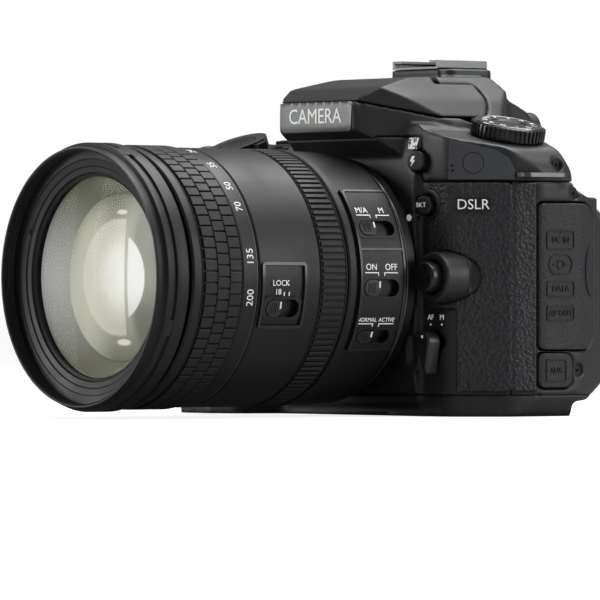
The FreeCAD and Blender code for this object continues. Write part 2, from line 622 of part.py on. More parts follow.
def make_inside():
    chamber = box((-22.5, 7.4, 17.0), (22.5, 40.0, 64.0))
    chamber = chamber.cut(box((-19.5, 6.0, 20.0), (19.5, 38.5, 61.5)))
    chamber = chamber.cut(box((-13, 38, 29), (13, 42, 50)))
    chamber = chamber.cut(box((-16, 14, 60), (16, 36, 66)))
    chamber = chamber.cut(box((23.3, 0, 37.0), (46, 9.4, 43.0)))
    front_plate = box((-26.5, 6.7, 12.5), (26.5, 9.4, 66.5)).cut(
        cylinder(vec(0, 0, axis_height), vec(0, 1, 0), 26.05, 20))
    front_plate = front_plate.cut(box((23.3, 0, 37.0), (46, 9.4, 43.0)))
    keep("mirror_box", joined([chamber, front_plate]))
    keep("shutter_unit", box((-24, 40.0, 15), (24, 43.5, 65)).cut(box((-12.5, 39, 28.5), (12.5, 41.2, 50.5))))
    keep("image_sensor", box((-17, 44.0, 26), (17, 46.5, 54)).fuse(box((-20, 46.5, 22), (20, 47.8, 58))))
    prism = side_prism([(12, 66.6), (40, 66.6), (43, 76), (40, 86), (30, 87.5), (12, 74)], 0.5, -17, 17)
    bevel = front_prism([(-17.5, 66), (17.5, 66), (17.5, 76), (4, 89), (-4, 89), (-17.5, 76)], 0.5, 5, 50)
    keep("pentaprism", prism.common(bevel))
    board = box((-34, 49.6, 9), (38, 51.2, 64))
    chips = [
        box((-10, 48.3, 30), (4, 49.6, 44)),
        box((12, 48.5, 15), (22, 49.6, 25)),
        box((-28, 48.5, 15), (-18, 49.6, 25)),
    ]
    keep("main_board", joined([board] + chips))
    keep("battery", plan_prism([(-66, -1), (-45.5, -1), (-45.5, 38.5), (-66, 38.5)], 2, 3.2, 56))
    keep("memory_card", box((-68.5, 43.5, 26), (-36.5, 45.6, 50)))
    keep("tripod_bush", cylinder(vec(0, socket_y, 0), vec(0, 0, 1), 6.2, 8).cut(
        cylinder(vec(0, socket_y, -1), vec(0, 0, 1), 3.2, 7.5)))


def make_mirror():
    """Reflex mirror in its tray, at 45 degrees; it swings up under the screen."""
    pivot_point = vec(-15.5, 36.5, 59.0)
    pivot = cylinder(pivot_point - vec(3.4, 0, 0), vec(1, 0, 0), 1.0, 37.8)
    along = vec(0, -1, -1).normalize()
    across = vec(0, -1, 1).normalize()
    corners = [pivot_point + along * reach + across * side
               for reach, side in ((0.0, 0.8), (29.0, 0.8), (29.0, -1.2), (0.0, -1.2))]
    tray = Part.Face(Part.makePolygon(corners + [corners[0]])).extrude(vec(31, 0, 0))
    keep("reflex_mirror", joined([tray, pivot]))


def make_finder():
    frame_y = eyepiece_y + 1.8
    keep("eyepiece_lens", box((-9.0, eyepiece_y, 74.2), (9.0, frame_y, 85.8)))
    outline = [(-16, 69.0), (16, 69.0), (17.2, 79), (14.5, 88.6), (-14.5, 88.6), (-17.2, 79)]
    cup = front_prism(outline, [4, 4, 8, 5, 5, 8], finder_y, finder_y + 3.4)
    hole = front_prism([(-10.5, 73), (10.5, 73), (10.5, 86), (-10.5, 86)], 3, eyepiece_y, finder_y + 5)
    frame = front_prism([(-11.8, 71.5), (11.8, 71.5), (11.8, 87), (-11.8, 87)], 3, frame_y, finder_y)
    keep("eyecup", cup.fuse(frame).removeSplitter().cut(hole))


def make_screens():
    rear = front_prism([(-36, 10), (34, 10), (34, 62), (-36, 62)], 3, back_y - 1.2, back_y + 0.6)
    top = plan_prism([(-63.7, 24.3), (-34.3, 24.3), (-34.3, 45.7), (-63.7, 45.7)], 2, 78.3, 79.5)
    keep("rear_display", rear)
    keep("top_display", top)


def eyelet(sign, x, y, z):
    def outline(inner, outer, half):
        low = x + inner * sign
        high = x + outer * sign
        return [(low, y - half), (high, y - half), (high, y + half), (low, y + half)][::sign]
    plate = plan_prism(outline(-4, 2.2, 8), [0.3, 2, 2, 0.3], z, z + 1.2)
    slot = plan_prism(outline(-0.6, 1.1, 6), 0.5, z - 1, z + 3)
    return plate.cut(slot)


def make_eyelets():
    right = eyelet(1, right_x - 0.3, 26.8, 68.6)
    left = eyelet(-1, left_x + 0.8, 27.0, 70.5)
    keep("strap_eyelets", Part.makeCompound([right, left]))


screw_places = [
    ((56.1, 33.2, 72.1), (0.96, 0.28, 0)),
    ((57.0, 38.9, 64.0), (0.98, 0.2, 0)),
    ((57.0, 40.4, 13.2), (0.98, 0.2, 0)),
    ((-66, 45, 0.3), (0, 0, -1)),
    ((-30, 50, 0.0), (0, 0, -1)),
    ((40, 48, 0.0), (0, 0, -1)),
    ((40, 12, 0.0), (0, 0, -1)),
    ((-30, 10, 0.0), (0, 0, -1)),
]


def make_screws():
    screws = []
    for face, direction in screw_places:
        out = vec(*direction).normalize()
        top = vec(*face) - out * 0.6
        head = cylinder(top - out * 1.3, out, 1.9, 1.3)
        shank = cylinder(top - out * 5.0, out, 0.9, 4.0)
        recess = cylinder(top - out * 0.6, out, 0.5, 1.0)
        screws.append(joined([head, shank]).cut(recess))
        pocket = cylinder(top - out * 1.3, out, 1.9, 4.0).fuse(cylinder(top - out * 5.0, out, 0.9, 6.0))
        casing_cuts.append(pocket)
    for angle in (45, 135, 180, 225, 315):
        turn = math.radians(angle)
        place = vec(27.6 * math.sin(turn), 0.1, axis_height + 27.6 * math.cos(turn))
        head = cylinder(place, vec(0, 1, 0), 1.1, 1.1)
        shank = cylinder(place + vec(0, 1.0, 0), vec(0, 1, 0), 0.7, 6.4)
        screws.append(joined([head, shank]))
    keep("casing_screws", Part.makeCompound(screws))
    return screws[-5:]


# ---- lens ----

def slot_cut(d0, d1, angle, height, low, high):
    """Straight-sided slot in the barrel; angle runs from the top towards +X."""
    block = Part.makeBox(height, d1 - d0, high - low, vec(-height / 2, d0 - lens_length, low))
    block.rotate(vec(0, 0, 0), vec(0, 1, 0), angle)
    block.translate(vec(0, 0, axis_height))
    return block


switch_list = [
    # name, distance of its slot's centre behind the rim, angle, slot length, slot height
    ("zoom_lock_switch", 44.3, 103.5, 12.0, 5.4),
    ("lens_focus_switch", 80.0, 68.0, 13.0, 4.8),
    ("stabiliser_switch", 79.7, 94.5, 13.0, 5.2),
    ("stabiliser_mode_switch", 79.5, 116.5, 12.0, 4.4),
]
slot_floor = 35.6
knob_top = 38.0


def make_lens_barrel():
    sleeve = ring(13.5, 94.5, sleeve_r, 33.8)
    band = turned([(36.0, 34.0), (36.0, 36.7), (36.5, band_r), (57.6, band_r), (58.0, 36.7), (58.0, 34.0)])
    rear = turned([(68.5, 34.0), (68.5, 36.7), (69.0, band_r), (71.0, band_r), (71.4, 36.6), (88.5, 36.3),
                   (91.5, 34.6), (92.2, 34.2), (92.2, 34.0)])
    skirt = turned([(91.8, 33.8), (91.8, 34.2), (92.6, 33.6), (94.4, 31.8), (94.4, 24.2), (93.0, 24.2),
                    (93.0, 33.8)])
    panel = ring(72.0, 88.6, 37.5, 34.5).common(wedge(86, 38, 45))
    lock_panel = ring(36.6, 52.6, 37.5, 34.5).common(wedge(98, 14.5, 45))
    barrel = joined([sleeve, band, rear, skirt, panel, lock_panel])
    for name, middle, angle, length, height in switch_list:
        barrel = barrel.cut(slot_cut(middle - length / 2, middle + length / 2, angle, height, slot_floor, 45))
    barrel = barrel.cut(ring(39.5, 52.5, 40, 36.75).common(wedge(32, 20, 45)))
    keep("lens_barrel", barrel)
    for name, middle, angle, length, height in switch_list:
        knob_length = length * 0.46
        start = middle - length / 2 + gap
        knob = slot_cut(start, start + knob_length, angle, height - 2 * gap, slot_floor + gap, knob_top)
        middle_of_knob = start + knob_length / 2
        groove = slot_cut(middle_of_knob - 0.4, middle_of_knob + 0.4, angle, height, knob_top - 0.5, 45)
        keep(name, knob.cut(groove))


def make_lens_mount():
    """Bayonet of the lens: a flange and three lugs behind it."""
    flange = ring(94.5, lens_length - 0.05, 30.9, 19.0).fuse(ring(93.2, 94.5, 24.0, 19.0))
    hub = ring(lens_length - 0.05, lens_length + 4.6, 21.8, 19.0)
    lugs = []
    for middle in (90, 210, 330):
        lug = ring(lens_length + 2.0, lens_length + 3.6, 23.2, 21.0)
        lugs.append(lug.common(wedge(middle, 24, 30)))
    groove = ring(lens_length - 1.95, lens_length + 1.0, 27.9, 24.5)
    track = joined([groove.common(wedge(angle, 18, 30)) for angle in (75, 42)])
    keep("lens_mount", joined([flange, hub] + lugs).cut(track))


def make_zoom_ring():
    body = turned([(12.2, 35.0), (12.2, 36.9), (12.7, 37.3), (15.6, 37.3), (15.6, 36.2), (30.2, 36.2),
                   (30.2, 36.9), (30.6, band_r), (35.4, band_r), (35.7, 36.7), (35.7, 35.0)])
    keep("zoom_ring", body)
    keep("zoom_rubber", ring(15.7, 30.1, 37.5, 36.2))
    grip = turned([(58.3, 35.0), (58.3, 36.6), (58.8, 36.9), (67.7, 36.9), (68.2, 36.6), (68.2, 35.0)])
    keep("focus_ring", grip)


def make_extension():
    keep("front_tube", turned([
        (0, thread_r), (0, rim_r), (1.1, rim_r), (1.6, 36.9), (2.6, 37.1), (3.1, hood_ring_r),
        (5.0, hood_ring_r), (5.3, 37.2), (6.0, 37.2), (6.3, hood_ring_r), (10.2, hood_ring_r), (10.6, 37.6),
        (10.6, front_tube_r),
        (78.0, front_tube_r), (78.0, 30.6), (6.4, 30.6), (6.4, 29.8), (5.6, 29.8), (4.9, 33.0),
        (thread_length, 33.2), (thread_length, thread_r)]))
    keep("front_element", round_lens(4.7, 12.4, 30.5, 3.0, 1.2))
    keep("middle_tube", turned([
        (12.0, 32.1), (12.0, middle_tube_r), (84.0, middle_tube_r), (84.0, 24.4), (22.0, 24.4), (22.0, 25.4),
        (82.5, 25.4), (82.5, 32.1)]))
    inner = round_lens(14.2, 22.0, 23.0, 2.4, 0.6)
    cell = ring(16.8, 22.0, 25.4, 22.9)
    keep("inner_lens_group", joined([inner, cell]))
    rear = round_lens(85.5, 91.5, 15.0, 1.0, 1.6)
    cell = ring(86.0, 92.9, 24.0, 14.9)
    keep("rear_lens_group", joined([rear, cell]))


make_buttons()
make_shutter_group()
make_dials()
make_selector()
make_lens_release()
make_mode_lever()
mount_screws = make_screws()
flash_spaces = make_flash()
door_spaces, battery_space = make_doors()
make_casings(flash_spaces, door_spaces, battery_space)
made["top_cover"] = made["top_cover"].fuse(shoe_platform().cut(inner_form)).removeSplitter()
make_hot_shoe()
make_mount_ring()
made["body_mount_ring"] = made["body_mount_ring"].cut(Part.makeCompound(mount_screws))
make_inside()
made["mirror_box"] = made["mirror_box"].cut(Part.makeCompound(mount_screws))
make_mirror()
make_finder()
make_screens()
make_eyelets()
for cover in ("top_cover", "rear_cover", "front_casing"):
    made[cover] = made[cover].cut(made["strap_eyelets"])
make_lens_barrel()
make_lens_mount()
make_zoom_ring()
make_extension()

for name, shape in made.items():
    shape = shape.copy()
    shape.translate(vec(0, -socket_y, 0))
    shape.exportStep("parts/" + name + ".step")
    print(name, "solids", len(shape.Solids), "valid", shape.isValid(), "volume", round(shape.Volume, 1))
print(len(made), "pieces")
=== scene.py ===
import math
import bmesh
import bpy
from mathutils import Matrix, Vector
from mathutils.bvhtree import BVHTree


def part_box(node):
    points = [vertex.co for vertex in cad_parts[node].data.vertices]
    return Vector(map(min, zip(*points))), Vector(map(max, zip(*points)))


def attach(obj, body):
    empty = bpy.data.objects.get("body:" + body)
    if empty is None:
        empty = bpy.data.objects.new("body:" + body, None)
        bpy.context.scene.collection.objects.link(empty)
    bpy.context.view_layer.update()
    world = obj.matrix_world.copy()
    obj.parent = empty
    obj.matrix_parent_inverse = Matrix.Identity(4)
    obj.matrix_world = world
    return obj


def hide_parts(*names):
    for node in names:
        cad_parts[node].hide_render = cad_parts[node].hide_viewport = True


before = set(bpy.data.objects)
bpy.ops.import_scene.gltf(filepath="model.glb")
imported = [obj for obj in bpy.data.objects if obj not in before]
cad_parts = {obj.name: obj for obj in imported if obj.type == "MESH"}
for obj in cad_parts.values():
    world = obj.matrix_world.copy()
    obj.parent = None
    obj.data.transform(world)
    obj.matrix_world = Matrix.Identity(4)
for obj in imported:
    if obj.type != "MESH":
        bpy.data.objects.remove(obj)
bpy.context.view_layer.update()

mm = 0.001

# places read from the frame, in millimetres
ringLow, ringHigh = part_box("zoom_ring")
axisHeight = (ringLow.z + ringHigh.z) / 2 / mm
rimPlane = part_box("front_tube")[0].y / mm       # y of the lens's front rim
lensLength = 96.5
flangePlane = rimPlane + lensLength


def lensPoint(d, r, turn):
    # d runs back from the front rim, turn runs from the top towards +X
    return Vector((r * math.sin(turn), rimPlane + d, axisHeight + r * math.cos(turn))) * mm


def bodyPoint(x, y, z):
    # y is measured back from the lens flange
    return Vector((x, y + flangePlane, z)) * mm


def newObject(name, mesh):
    obj = bpy.data.objects.new(name, mesh)
    bpy.context.scene.collection.objects.link(obj)
    return obj


def meshFromLists(name, verts, faces):
    mesh = bpy.data.meshes.new(name)
    mesh.from_pydata([tuple(v) for v in verts], [], faces)
    mesh.update()
    return mesh


def shadeSoft(obj, angle=32):
    mesh = obj.data
    mesh.polygons.foreach_set("use_smooth", [True] * len(mesh.polygons))
    bm = bmesh.new()
    bm.from_mesh(mesh)
    limit = math.radians(angle)
    for edge in bm.edges:
        if len(edge.link_faces) == 2:
            edge.smooth = edge.calc_face_angle(0) < limit
    bm.to_mesh(mesh)
    bm.free()
    return obj


def bakeModifiers(obj):
    graph = bpy.context.evaluated_depsgraph_get()
    graph.update()
    mesh = bpy.data.meshes.new_from_object(obj.evaluated_get(graph))
    obj.modifiers.clear()
    old = obj.data
    obj.data = mesh
    bpy.data.meshes.remove(old)
    return obj


def nodeCopy(name, node):
    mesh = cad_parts[node].data.copy()
    mesh.materials.clear()
    bm = bmesh.new()
    bm.from_mesh(mesh)
    bmesh.ops.remove_doubles(bm, verts=bm.verts, dist=0.00001)
    bmesh.ops.dissolve_limit(bm, angle_limit=0.004, verts=bm.verts, edges=bm.edges)
    bm.to_mesh(mesh)
    bm.free()
    return newObject(name, mesh)


def moulded(name, node, settings):
    # casing in moulded plastic
    obj = nodeCopy(name, node)
    remesh = obj.modifiers.new("skin", "REMESH")
    remesh.mode = "VOXEL"
    remesh.voxel_size = settings["voxel"] * mm
    soften = obj.modifiers.new("soften", "SMOOTH")
    soften.factor = 0.5
    soften.iterations = settings["soften"]
    bakeModifiers(obj)
    obj.data.polygons.foreach_set("use_smooth", [True] * len(obj.data.polygons))
    return obj


def finishPiece(obj, body, material, node=None):
    if material is not None:
        obj.data.materials.clear()
        obj.data.materials.append(material)
    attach(obj, body)
    if node:
        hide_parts(node)
    return obj


def roundedProfile(points, radius, steps=3):
    # turns the corners of a closed (d, r) outline into small arcs
    out = []
    count = len(points)
    for i in range(count):
        before = Vector(points[i - 1])
        here = Vector(points[i])
        after = Vector(points[(i + 1) % count])
        into = (before - here)
        away = (after - here)
        room = min(radius, into.length * 0.45, away.length * 0.45)
        start = here + into.normalized() * room
        end = here + away.normalized() * room
        for k in range(steps + 1):
            t = k / steps
            out.append(start * (1 - t) ** 2 + here * 2 * t * (1 - t) + end * t ** 2)
    return out


def ringFaces(rings, n):
    # quads between rings of n points, the last ring joined to the first
    faces = []
    for s in range(rings):
        a = s * n
        b = ((s + 1) % rings) * n
        faces += [(a + i, a + (i + 1) % n, b + (i + 1) % n, b + i) for i in range(n)]
    return faces


def turnedPiece(name, points, radius=0.15, segments=192, steps=3):
    # a ring turned about the lens axis from a closed (d, r) outline
    profile = roundedProfile(points, radius, steps)
    verts = []
    for s in range(segments):
        turn = 2 * math.pi * s / segments
        verts += [lensPoint(p[0], p[1], turn) for p in profile]
    obj = newObject(name, meshFromLists(name, verts, ringFaces(segments, len(profile))))
    fixNormals(obj)
    return shadeSoft(obj, 40)


def fixNormals(obj):
    bm = bmesh.new()
    bm.from_mesh(obj.data)
    bmesh.ops.recalc_face_normals(bm, faces=bm.faces)
    bm.to_mesh(obj.data)
    bm.free()


def joinMeshes(name, objects):
    bm = bmesh.new()
    for obj in objects:
        bm.from_mesh(obj.data)
    mesh = bpy.data.meshes.new(name)
    bm.to_mesh(mesh)
    bm.free()
    for obj in objects:
        bpy.data.objects.remove(obj)
    return newObject(name, mesh)


def bvhOf(obj):
    bm = bmesh.new()
    bm.from_mesh(obj.data)
    tree = BVHTree.FromBMesh(bm)
    bm.free()
    return tree


def flatText(text, size, stroke=0.0):
    # lettering as a flat mesh in millimetres, centred on zero
    curve = bpy.data.curves.new("lettering", "FONT")
    curve.body = text
    curve.size = size
    curve.align_x = "CENTER"
    curve.align_y = "CENTER"
    curve.offset = stroke
    curve.resolution_u = 3
    obj = bpy.data.objects.new("lettering", curve)
    bpy.context.scene.collection.objects.link(obj)
    graph = bpy.context.evaluated_depsgraph_get()
    graph.update()
    mesh = bpy.data.meshes.new_from_object(obj.evaluated_get(graph))
    bpy.data.objects.remove(obj)
    verts = [v.co.copy() for v in mesh.vertices]
    faces = [tuple(p.vertices) for p in mesh.polygons]
    bpy.data.meshes.remove(mesh)
    return verts, faces


def bar(x0, x1, y0, y1):
    return [Vector((x0, y0, 0)), Vector((x1, y0, 0)), Vector((x1, y1, 0)),
            Vector((x0, y1, 0))], [(0, 1, 2, 3)]


def disc(x, y, r, sides=20):
    turns = [2 * math.pi * i / sides for i in range(sides)]
    return [Vector((x + r * math.cos(a), y + r * math.sin(a), 0)) for a in turns], [tuple(range(sides))]


def merged(parts):
    verts = []
    faces = []
    for partVerts, partFaces in parts:
        base = len(verts)
        verts += partVerts
        faces += [tuple(base + i for i in f) for f in partFaces]
    return verts, faces


def shifted(part, dx, dy, turn=0.0):
    spin = Matrix.Rotation(turn, 3, "Z")
    return [spin @ v + Vector((dx, dy, 0)) for v in part[0]], part[1]


def subdividedFlat(part, cuts):
    # splits long edges so that the flat shape can bend
    bm = bmesh.new()
    made = [bm.verts.new(v) for v in part[0]]
    for f in part[1]:
        try:
            bm.faces.new([made[i] for i in f])
        except ValueError:
            pass
    bmesh.ops.triangulate(bm, faces=bm.faces)
    for _ in range(6):
        longEdges = [e for e in bm.edges if e.calc_length() > cuts]
        if not longEdges:
            break
        bmesh.ops.subdivide_edges(bm, edges=longEdges, cuts=1)
        bmesh.ops.triangulate(bm, faces=bm.faces)
    verts = [v.co.copy() for v in bm.verts]
    bm.verts.index_update()
    faces = [tuple(v.index for v in f.verts) for f in bm.faces]
    bm.free()
    return verts, faces


def markOnLens(name, part, d, turn, r, reading=0.0, thick=0.05):
    # wraps a flat marking round the barrel; reading turns it on the surface
    spin = Matrix.Rotation(reading, 3, "Z")
    verts, faces = subdividedFlat(part, 1.6)
    low = []
    high = []
    for v in verts:
        p = spin @ v
        angle = turn - p.y / r
        low.append(lensPoint(d + p.x, r - 0.05, angle))
        high.append(lensPoint(d + p.x, r + thick, angle))
    return solidMark(name, low, high, faces)


def solidMark(name, low, high, faces):
    n = len(low)
    allFaces = [tuple(n + i for i in f) for f in faces] + [tuple(reversed(f)) for f in faces]
    sides = {}
    for f in faces:
        for i in range(len(f)):
            a, b = f[i], f[(i + 1) % len(f)]
            sides[(a, b)] = sides.get((a, b), 0) + 1
    for a, b in sides:
        if (b, a) not in sides:
            allFaces.append((a, b, n + b, n + a))
    return newObject(name, meshFromLists(name, low + high, allFaces))


def markOnSurface(name, part, tree, centre, across, up, lift=0.06, sink=0.05, reach=12, fine=1.6):
    # drops a flat marking onto a moulded surface
    across = across.normalized()
    out = across.cross(up).normalized()
    up = out.cross(across).normalized()
    verts, faces = subdividedFlat(part, fine)
    low = []
    high = []
    for v in verts:
        start = centre + (across * v.x + up * v.y) * mm
        hit, normal, _, _ = tree.ray_cast(start + out * reach * mm, -out, 2 * reach * mm)
        if hit is None:
            hit = start
        low.append(hit - out * sink * mm)
        high.append(hit + out * lift * mm)
    return solidMark(name, low, high, faces)


def roundedPlate(width, height, radius, steps=5, taper=0.0):
    pts = []
    for cx, cy, a0 in ((1, 1, 0), (-1, 1, 90), (-1, -1, 180), (1, -1, 270)):
        for k in range(steps + 1):
            a = math.radians(a0 + 90 * k / steps)
            pts.append((cx * (width / 2 - radius) + radius * math.cos(a),
                        cy * (height / 2 - radius) + radius * math.sin(a)))
    pts = [(x * (1 + taper * y / height), y) for x, y in pts]
    return [Vector((x, y, 0)) for x, y in pts], [tuple(range(len(pts)))]


def newGroup(name, inputs, outputs):
    group = bpy.data.node_groups.new(name, "ShaderNodeTree")
    for label, kind, value in inputs:
        socket = group.interface.new_socket(name=label, in_out="INPUT", socket_type=kind)
        if value is not None:
            socket.default_value = value
    for label, kind in outputs:
        group.interface.new_socket(name=label, in_out="OUTPUT", socket_type=kind)
    source = group.nodes.new("NodeGroupInput")
    sink = group.nodes.new("NodeGroupOutput")
    return group, source, sink


def maths(tree, operation, a, b=None, c=None):
    node = tree.nodes.new("ShaderNodeMath")
    node.operation = operation
    for i, value in enumerate((a, b, c)):
        if value is None:
            continue
        if isinstance(value, (int, float)):
            node.inputs[i].default_value = value
        else:
            tree.links.new(value, node.inputs[i])
    return node.outputs[0]


def linkNodes(tree, pairs):
    for a, b in pairs:
        tree.links.new(a, b)


def setInputs(node, values):
    for socket, value in values.items():
        node.inputs[socket].default_value = value


def addNode(tree, kind, values=None, **settings):
    # a node with its own settings and the values of its free inputs
    node = tree.nodes.new(kind)
    for key, value in settings.items():
        setattr(node, key, value)
    setInputs(node, values or {})
    return node


def makeGrainGroup():
    # fine moulded grain with a slow drift of tone
    group, source, sink = newGroup(
        "mouldGrain", [("Colour", "NodeSocketColor", (0.03, 0.03, 0.03, 1)),
         ("Worn Colour", "NodeSocketColor", (0.1, 0.1, 0.1, 1)),
         ("Grain Scale", "NodeSocketFloat", 2500.0), ("Rough Low", "NodeSocketFloat", 0.4),
         ("Rough High", "NodeSocketFloat", 0.6), ("Wear", "NodeSocketFloat", 0.3)],
        [("Colour", "NodeSocketColor"), ("Roughness", "NodeSocketFloat"), ("Height", "NodeSocketFloat")])
    coords = addNode(group, "ShaderNodeTexCoord")
    grain = addNode(group, "ShaderNodeTexNoise", {"Detail": 2.0})
    drift = addNode(group, "ShaderNodeTexNoise", {"Scale": 60.0, "Detail": 4.0})
    geometry = addNode(group, "ShaderNodeNewGeometry")
    edge = addNode(group, "ShaderNodeMapRange", {"From Min": 0.52, "From Max": 0.62})
    worn = addNode(group, "ShaderNodeMath", operation="MULTIPLY")
    patch = addNode(group, "ShaderNodeMath", operation="MULTIPLY")
    mixColour = addNode(group, "ShaderNodeMix", data_type="RGBA")
    tone = addNode(group, "ShaderNodeMix", {0: 0.35}, data_type="RGBA", blend_type="MULTIPLY")
    rough = addNode(group, "ShaderNodeMapRange", {"From Min": 0.3, "From Max": 0.7})
    linkNodes(group, [
        (coords.outputs["Object"], grain.inputs["Vector"]),
        (coords.outputs["Object"], drift.inputs["Vector"]),
        (source.outputs["Grain Scale"], grain.inputs["Scale"]),
        (geometry.outputs["Pointiness"], edge.inputs["Value"]), (edge.outputs["Result"], worn.inputs[0]),
        (source.outputs["Wear"], worn.inputs[1]), (worn.outputs[0], patch.inputs[0]),
        (drift.outputs["Fac"], patch.inputs[1]), (patch.outputs[0], mixColour.inputs[0]),
        (source.outputs["Colour"], tone.inputs[6]), (drift.outputs["Color"], tone.inputs[7]),
        (tone.outputs[2], mixColour.inputs[6]), (source.outputs["Worn Colour"], mixColour.inputs[7]),
        (mixColour.outputs[2], sink.inputs["Colour"]), (drift.outputs["Fac"], rough.inputs["Value"]),
        (source.outputs["Rough Low"], rough.inputs["To Min"]),
        (source.outputs["Rough High"], rough.inputs["To Max"]),
        (rough.outputs["Result"], sink.inputs["Roughness"]),
        (grain.outputs["Fac"], sink.inputs["Height"]),
    ])
    return group


def makeLeatherGroup():
    # pebbled rubber: rounded cells with small creases between them
    group, source, sink = newGroup(
        "pebbledSkin", [("Pebble Scale", "NodeSocketFloat", 900.0)],
        [("Height", "NodeSocketFloat"), ("Crease", "NodeSocketFloat")])
    coords = addNode(group, "ShaderNodeTexCoord")
    warp = addNode(group, "ShaderNodeTexNoise", {"Scale": 500.0})
    shift = addNode(group, "ShaderNodeMix", {0: 0.0012}, data_type="VECTOR")
    cells = addNode(group, "ShaderNodeTexVoronoi", {"Smoothness": 0.35}, feature="SMOOTH_F1")
    ripple = addNode(group, "ShaderNodeTexNoise", {"Detail": 3.0})
    blend = addNode(group, "ShaderNodeMix", {0: 0.45}, data_type="FLOAT")
    flip = addNode(group, "ShaderNodeMath", {0: 1.0}, operation="SUBTRACT")
    crease = addNode(group, "ShaderNodeMapRange", {"From Min": 0.25, "From Max": 0.6})
    linkNodes(group, [
        (coords.outputs["Object"], warp.inputs["Vector"]), (coords.outputs["Object"], shift.inputs[4]),
        (warp.outputs["Color"], shift.inputs[5]), (shift.outputs[1], cells.inputs["Vector"]),
        (source.outputs["Pebble Scale"], cells.inputs["Scale"]),
        (source.outputs["Pebble Scale"], ripple.inputs["Scale"]),
        (coords.outputs["Object"], ripple.inputs["Vector"]), (cells.outputs["Distance"], flip.inputs[1]),
        (flip.outputs[0], blend.inputs[2]), (ripple.outputs["Fac"], blend.inputs[3]),
        (blend.outputs[0], sink.inputs["Height"]), (blend.outputs[0], crease.inputs["Value"]),
        (crease.outputs["Result"], sink.inputs["Crease"]),
    ])
    return group


grainGroup = makeGrainGroup()
leatherGroup = makeLeatherGroup()


def plainMaterial(name):
    material = bpy.data.materials.new(name)
    material.use_nodes = True
    return material, material.node_tree, material.node_tree.nodes["Principled BSDF"]


def grainMaterial(name, look):
    material, tree, shader = plainMaterial(name)
    worn = look.get("worn", [c * 2.5 for c in look["colour"]])
    grain = addNode(tree, "ShaderNodeGroup", {
        "Colour": (*look["colour"], 1), "Worn Colour": (*worn, 1), "Grain Scale": look["grain"],
        "Rough Low": look["rough"][0], "Rough High": look["rough"][1], "Wear": look.get("wear", 0.3)},
        node_tree=grainGroup)
    bump = addNode(tree, "ShaderNodeBump", {"Strength": look["bump"], "Distance": look["depth"]})
    linkNodes(tree, [
        (grain.outputs["Colour"], shader.inputs["Base Color"]),
        (grain.outputs["Roughness"], shader.inputs["Roughness"]),
        (grain.outputs["Height"], bump.inputs["Height"]), (bump.outputs["Normal"], shader.inputs["Normal"]),
    ])
    setInputs(shader, {
        "Metallic": look.get("metal", 0.0), "Emission Strength": look.get("glow", 0.0),
        "Coat Weight": look.get("coat", 0.0), "Coat Roughness": 0.15,
        "Specular IOR Level": look.get("specular", 0.5)})
    return material


def leatherMaterial(name, look):
    material, tree, shader = plainMaterial(name)
    leather = addNode(tree, "ShaderNodeGroup", {"Pebble Scale": look["pebble"]}, node_tree=leatherGroup)
    # the creases between the pebbles get a painted shade: the colour darkened to 0.45 of itself
    creaseShadeColour = [c * 0.45 for c in look["colour"]]
    ramp = addNode(tree, "ShaderNodeMix", {6: (*creaseShadeColour, 1), 7: (*look["colour"], 1)}, data_type="RGBA")
    rough = addNode(tree, "ShaderNodeMapRange", {"To Min": look["rough"][0], "To Max": look["rough"][1]})
    bump = addNode(tree, "ShaderNodeBump", {"Strength": look["bump"], "Distance": look["depth"]})
    linkNodes(tree, [
        (leather.outputs["Crease"], ramp.inputs[0]), (ramp.outputs[2], shader.inputs["Base Color"]),
        (leather.outputs["Height"], rough.inputs["Value"]),
        (rough.outputs["Result"], shader.inputs["Roughness"]),
        (leather.outputs["Height"], bump.inputs["Height"]),
        (bump.outputs["Normal"], shader.inputs["Normal"]),
    ])
    setInputs(shader, {"Specular IOR Level": 0.4})
    return material


def glassMaterial(name, look):
    # coated glass: tinted, with a faint drift in its coating
    material, tree, shader = plainMaterial(name)
    coords = addNode(tree, "ShaderNodeTexCoord")
    film = addNode(tree, "ShaderNodeTexNoise", {"Scale": 30})
    mix = addNode(tree, "ShaderNodeMix", {6: (*look["colour"], 1), 7: (*look["tint"], 1)}, data_type="RGBA")
    rough = addNode(tree, "ShaderNodeMapRange", {"To Min": look["rough"], "To Max": look["rough"] + 0.02})
    linkNodes(tree, [
        (coords.outputs["Object"], film.inputs["Vector"]), (film.outputs["Fac"], mix.inputs[0]),
        (mix.outputs[2], shader.inputs["Base Color"]), (film.outputs["Fac"], rough.inputs["Value"]),
        (rough.outputs["Result"], shader.inputs["Roughness"]),
    ])
    setInputs(shader, {"Transmission Weight": look["transmission"], "Metallic": look.get("metal", 0.0),
                       "IOR": look.get("ior", 1.52)})
    return material


def softStep(tree, value, width):
    node = addNode(tree, "ShaderNodeMapRange", {"From Min": -width, "From Max": width},
                   interpolation_type="SMOOTHSTEP")
    tree.links.new(value, node.inputs["Value"])
    return node.outputs["Result"]


